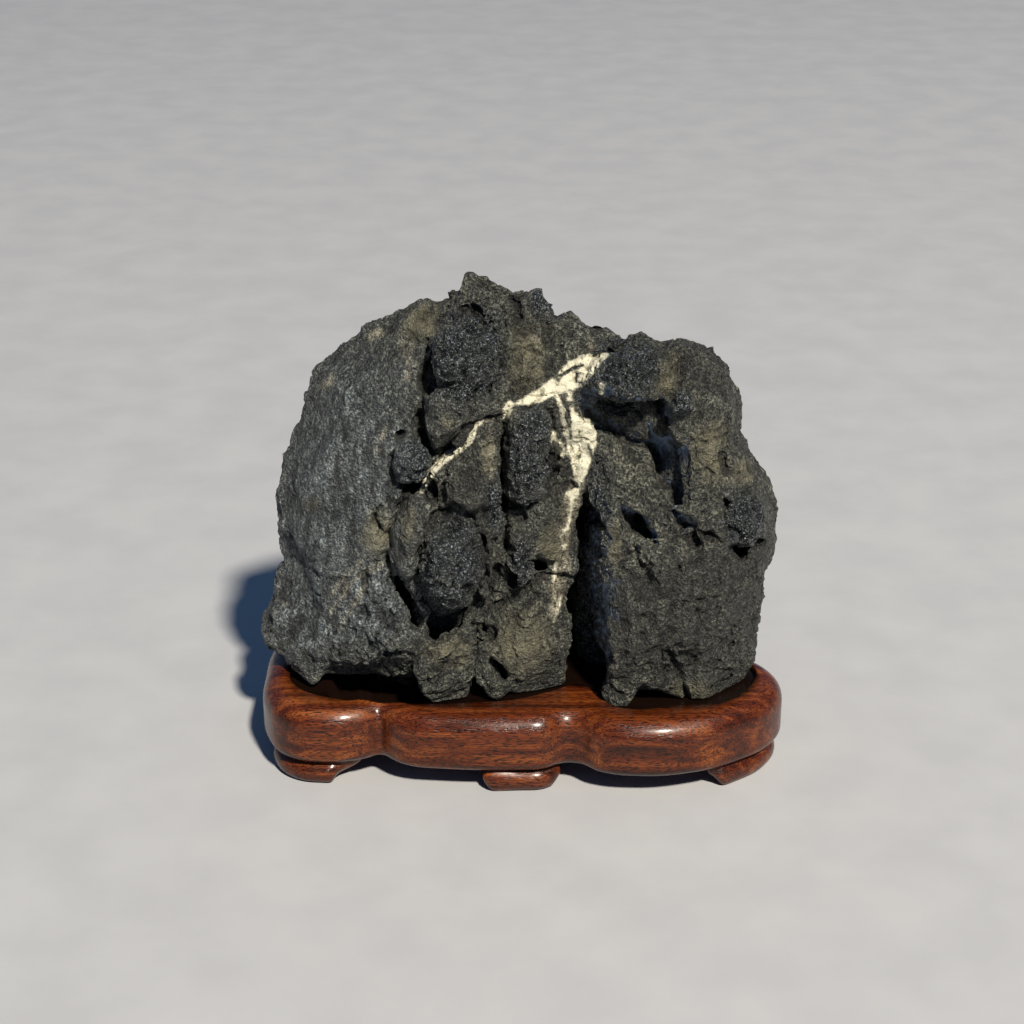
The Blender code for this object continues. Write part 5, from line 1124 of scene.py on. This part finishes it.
    # the vein: its ragged edge comes from moving the strands' own distance by noise
    ragged = add("TexNoise", [place, 1.1, 5.0, 0.7])
    wander = add("MapRange", [ragged, 0.0, 1.0, -2.4 * look["edge"], 2.4 * look["edge"]], clamp=False)
    moved = add("Math", [vein, wander], operation="ADD")
    veined = add("MapRange", [moved, -0.3, 0.3, 0.0, 1.0], interpolation_type="SMOOTHSTEP")
    crystals = add("TexNoise", [place, 0.8, 4.0, 0.65])
    calcite = add("ValToRGB", [crystals], [(0.31, look["inclusion"]), (0.39, look["veinShade"]),
                                           (0.49, look["vein"]), (0.8, look["vein"])])
    coloured = add("Mix", [veined, shaded, calcite], **colours)

    fine = add("TexNoise", [place, 1 / look["fine"], 3.0, 0.7])
    relief = add("Math", [chips, 1.1, fine], operation="MULTIPLY_ADD")
    smoother = add("MapRange", [veined, 0.0, 1.0, 1.0, look["veinRelief"]])
    setSockets(shader, {
        "Base Color": coloured, "Roughness": add("MapRange", [gloss, 0.0, 1.0, look["dull"], look["rubbed"]]),
        "IOR": 1.5,
        "Normal": add("Bump", {"Height": relief, "Strength": smoother, "Distance": look["relief"] * mm}),
    })
    return made


def polishedRosewood():
    # rosewood, carved, sanded and waxed: dark red-brown with darker bands, fine black pores that run with
    # the grain, and a soft gloss
    look = {
        # 120906 is painted shade, nearly black, for the wood inside the seat
        "dark": "#2f1408", "middle": "#53220b", "light": "#80441b", "pore": "#0f0704", "stainAndSeatShade": "#120906",
        "bandLength": 60.0, "bandWidth": 2.6,  # mm
        "poreLength": 1.5, "poreWidth": 0.17,  # mm
        "poreCover": 0.9,
        "sanded": 0.2, "open": 0.34,  # roughness, between the bands and on them
        "waxed": 0.25,  # wax fills the pores and takes off some of the wood's own shine
        "wax": 0.2, "waxRoughness": 0.15,
        "relief": 0.12,  # mm
    }
    made, add, shader = newMaterial("polished_rosewood")
    place = inMillimetres(add)

    def drawnOut(length, width):
        # coordinates drawn out along the grain, which runs with X
        return add("Mapping", {"Vector": place, "Scale": (1 / length, 1 / width, 1 / width)})

    bands = add("TexNoise", [drawnOut(look["bandLength"], look["bandWidth"]), 1.0, 8.0, 0.68, 2.0, 0.5])
    wood = add("ValToRGB", [bands], [(0.36, look["dark"]), (0.5, look["middle"]), (0.66, look["light"])])
    pores = add("TexNoise", [drawnOut(look["poreLength"], look["poreWidth"]), 1.0, 1.0, 0.5])
    pored = add("MapRange", [pores, 0.5, 0.6, 0.0, look["poreCover"]])
    streaked = add("Mix", [pored, wood, look["pore"]], data_type="RGBA")
    # painted shade: the wood inside the seat, under the stone, is painted nearly black, as the stone's shadow
    stainedAndSeatShaded = add("Mix", [attributeOf(add, "seat"), streaked, look["stainAndSeatShade"]], data_type="RGBA")
    ripple = add("Math", [pored, -0.5, bands], operation="MULTIPLY_ADD")
    setSockets(shader, {
        "Base Color": stainedAndSeatShaded, "Roughness": add("MapRange", [bands, 0.3, 0.7, look["sanded"], look["open"]]),
        "IOR": 1.5, "Specular IOR Level": look["waxed"],
        "Coat Weight": look["wax"], "Coat Roughness": look["waxRoughness"],
        "Normal": add("Bump", {"Height": ripple, "Strength": 0.35, "Distance": look["relief"] * mm}),
    })
    return made


def paintedBoard():
    # the floor: board painted matt, almost plain
    look = {"light": "#aaabac", "shade": "#a4a5a7", "patch": 18.0, "matt": 0.75}  # patches in mm
    made, add, shader = newMaterial("painted_board")
    mottle = add("TexNoise", [inMillimetres(add), 1 / look["patch"], 4.0])
    tone = add("ValToRGB", [mottle], [(0.35, look["shade"]), (0.65, look["light"])])
    setSockets(shader, {"Base Color": tone, "Roughness": look["matt"]})
    return made


# stage, lights and camera

def makeStage():
    light = {
        "keyTurn": 21.0, "keyRise": 47.0, "keyAway": 4.0, "keySize": 0.3, "keyPower": 315.0,
        "keyColour": (1.0, 0.92, 0.8), "sky": (0.27, 0.52, 1.0), "skyStrength": 0.21,
    }
    bm = bmesh.new()
    bmesh.ops.create_grid(bm, x_segments=8, y_segments=8, size=3.0)
    floor = objectFrom(bm, "floor")
    floor.data.materials.append(paintedBoard())

    scene = bpy.context.scene
    world = bpy.data.worlds.new("room")
    world.use_nodes = True
    background = world.node_tree.nodes["Background"]
    setSockets(background, {"Color": (*light["sky"], 1.0), "Strength": light["skyStrength"]})
    scene.world = world

    turn, rise = math.radians(light["keyTurn"]), math.radians(light["keyRise"])
    way = Vector((math.sin(turn) * math.cos(rise), -math.cos(turn) * math.cos(rise), math.sin(rise)))
    target = Vector(eye["target"]) * mm
    lamp = bpy.data.lights.new("key", "AREA")
    lamp.shape = "DISK"
    lamp.size = light["keySize"]
    lamp.energy = light["keyPower"]
    lamp.color = light["keyColour"]
    key = bpy.data.objects.new("key", lamp)
    key.location = target + way * light["keyAway"]
    key.rotation_euler = way.to_track_quat("Z", "Y").to_euler()
    scene.collection.objects.link(key)

    lens = bpy.data.cameras.new("camera")
    lens.sensor_width = eye["sensor"]
    lens.lens = eye["sensor"] * eye["distance"] / eye["frameWidth"]
    lens.clip_start = 0.01
    camera = bpy.data.objects.new("camera", lens)
    back = Vector((0.0, -math.cos(eye["rise"]), math.sin(eye["rise"])))
    camera.location = target + back * eye["distance"] * mm
    camera.rotation_euler = (math.radians(90.0) - eye["rise"], 0.0, 0.0)
    scene.collection.objects.link(camera)
    scene.camera = camera
    scene.view_settings.view_transform = "Standard"


makeStage()
stone = makeStone()
stone.data.materials.clear()
stone.data.materials.append(weatheredLimestone())
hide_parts("stone")
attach(stone, "root")
print("stone: in place")

stand = makeStand()
stand.data.materials.clear()
stand.data.materials.append(polishedRosewood())
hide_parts("stand")
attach(stand, "root")
print("stand: in place")

print("pieces ready")
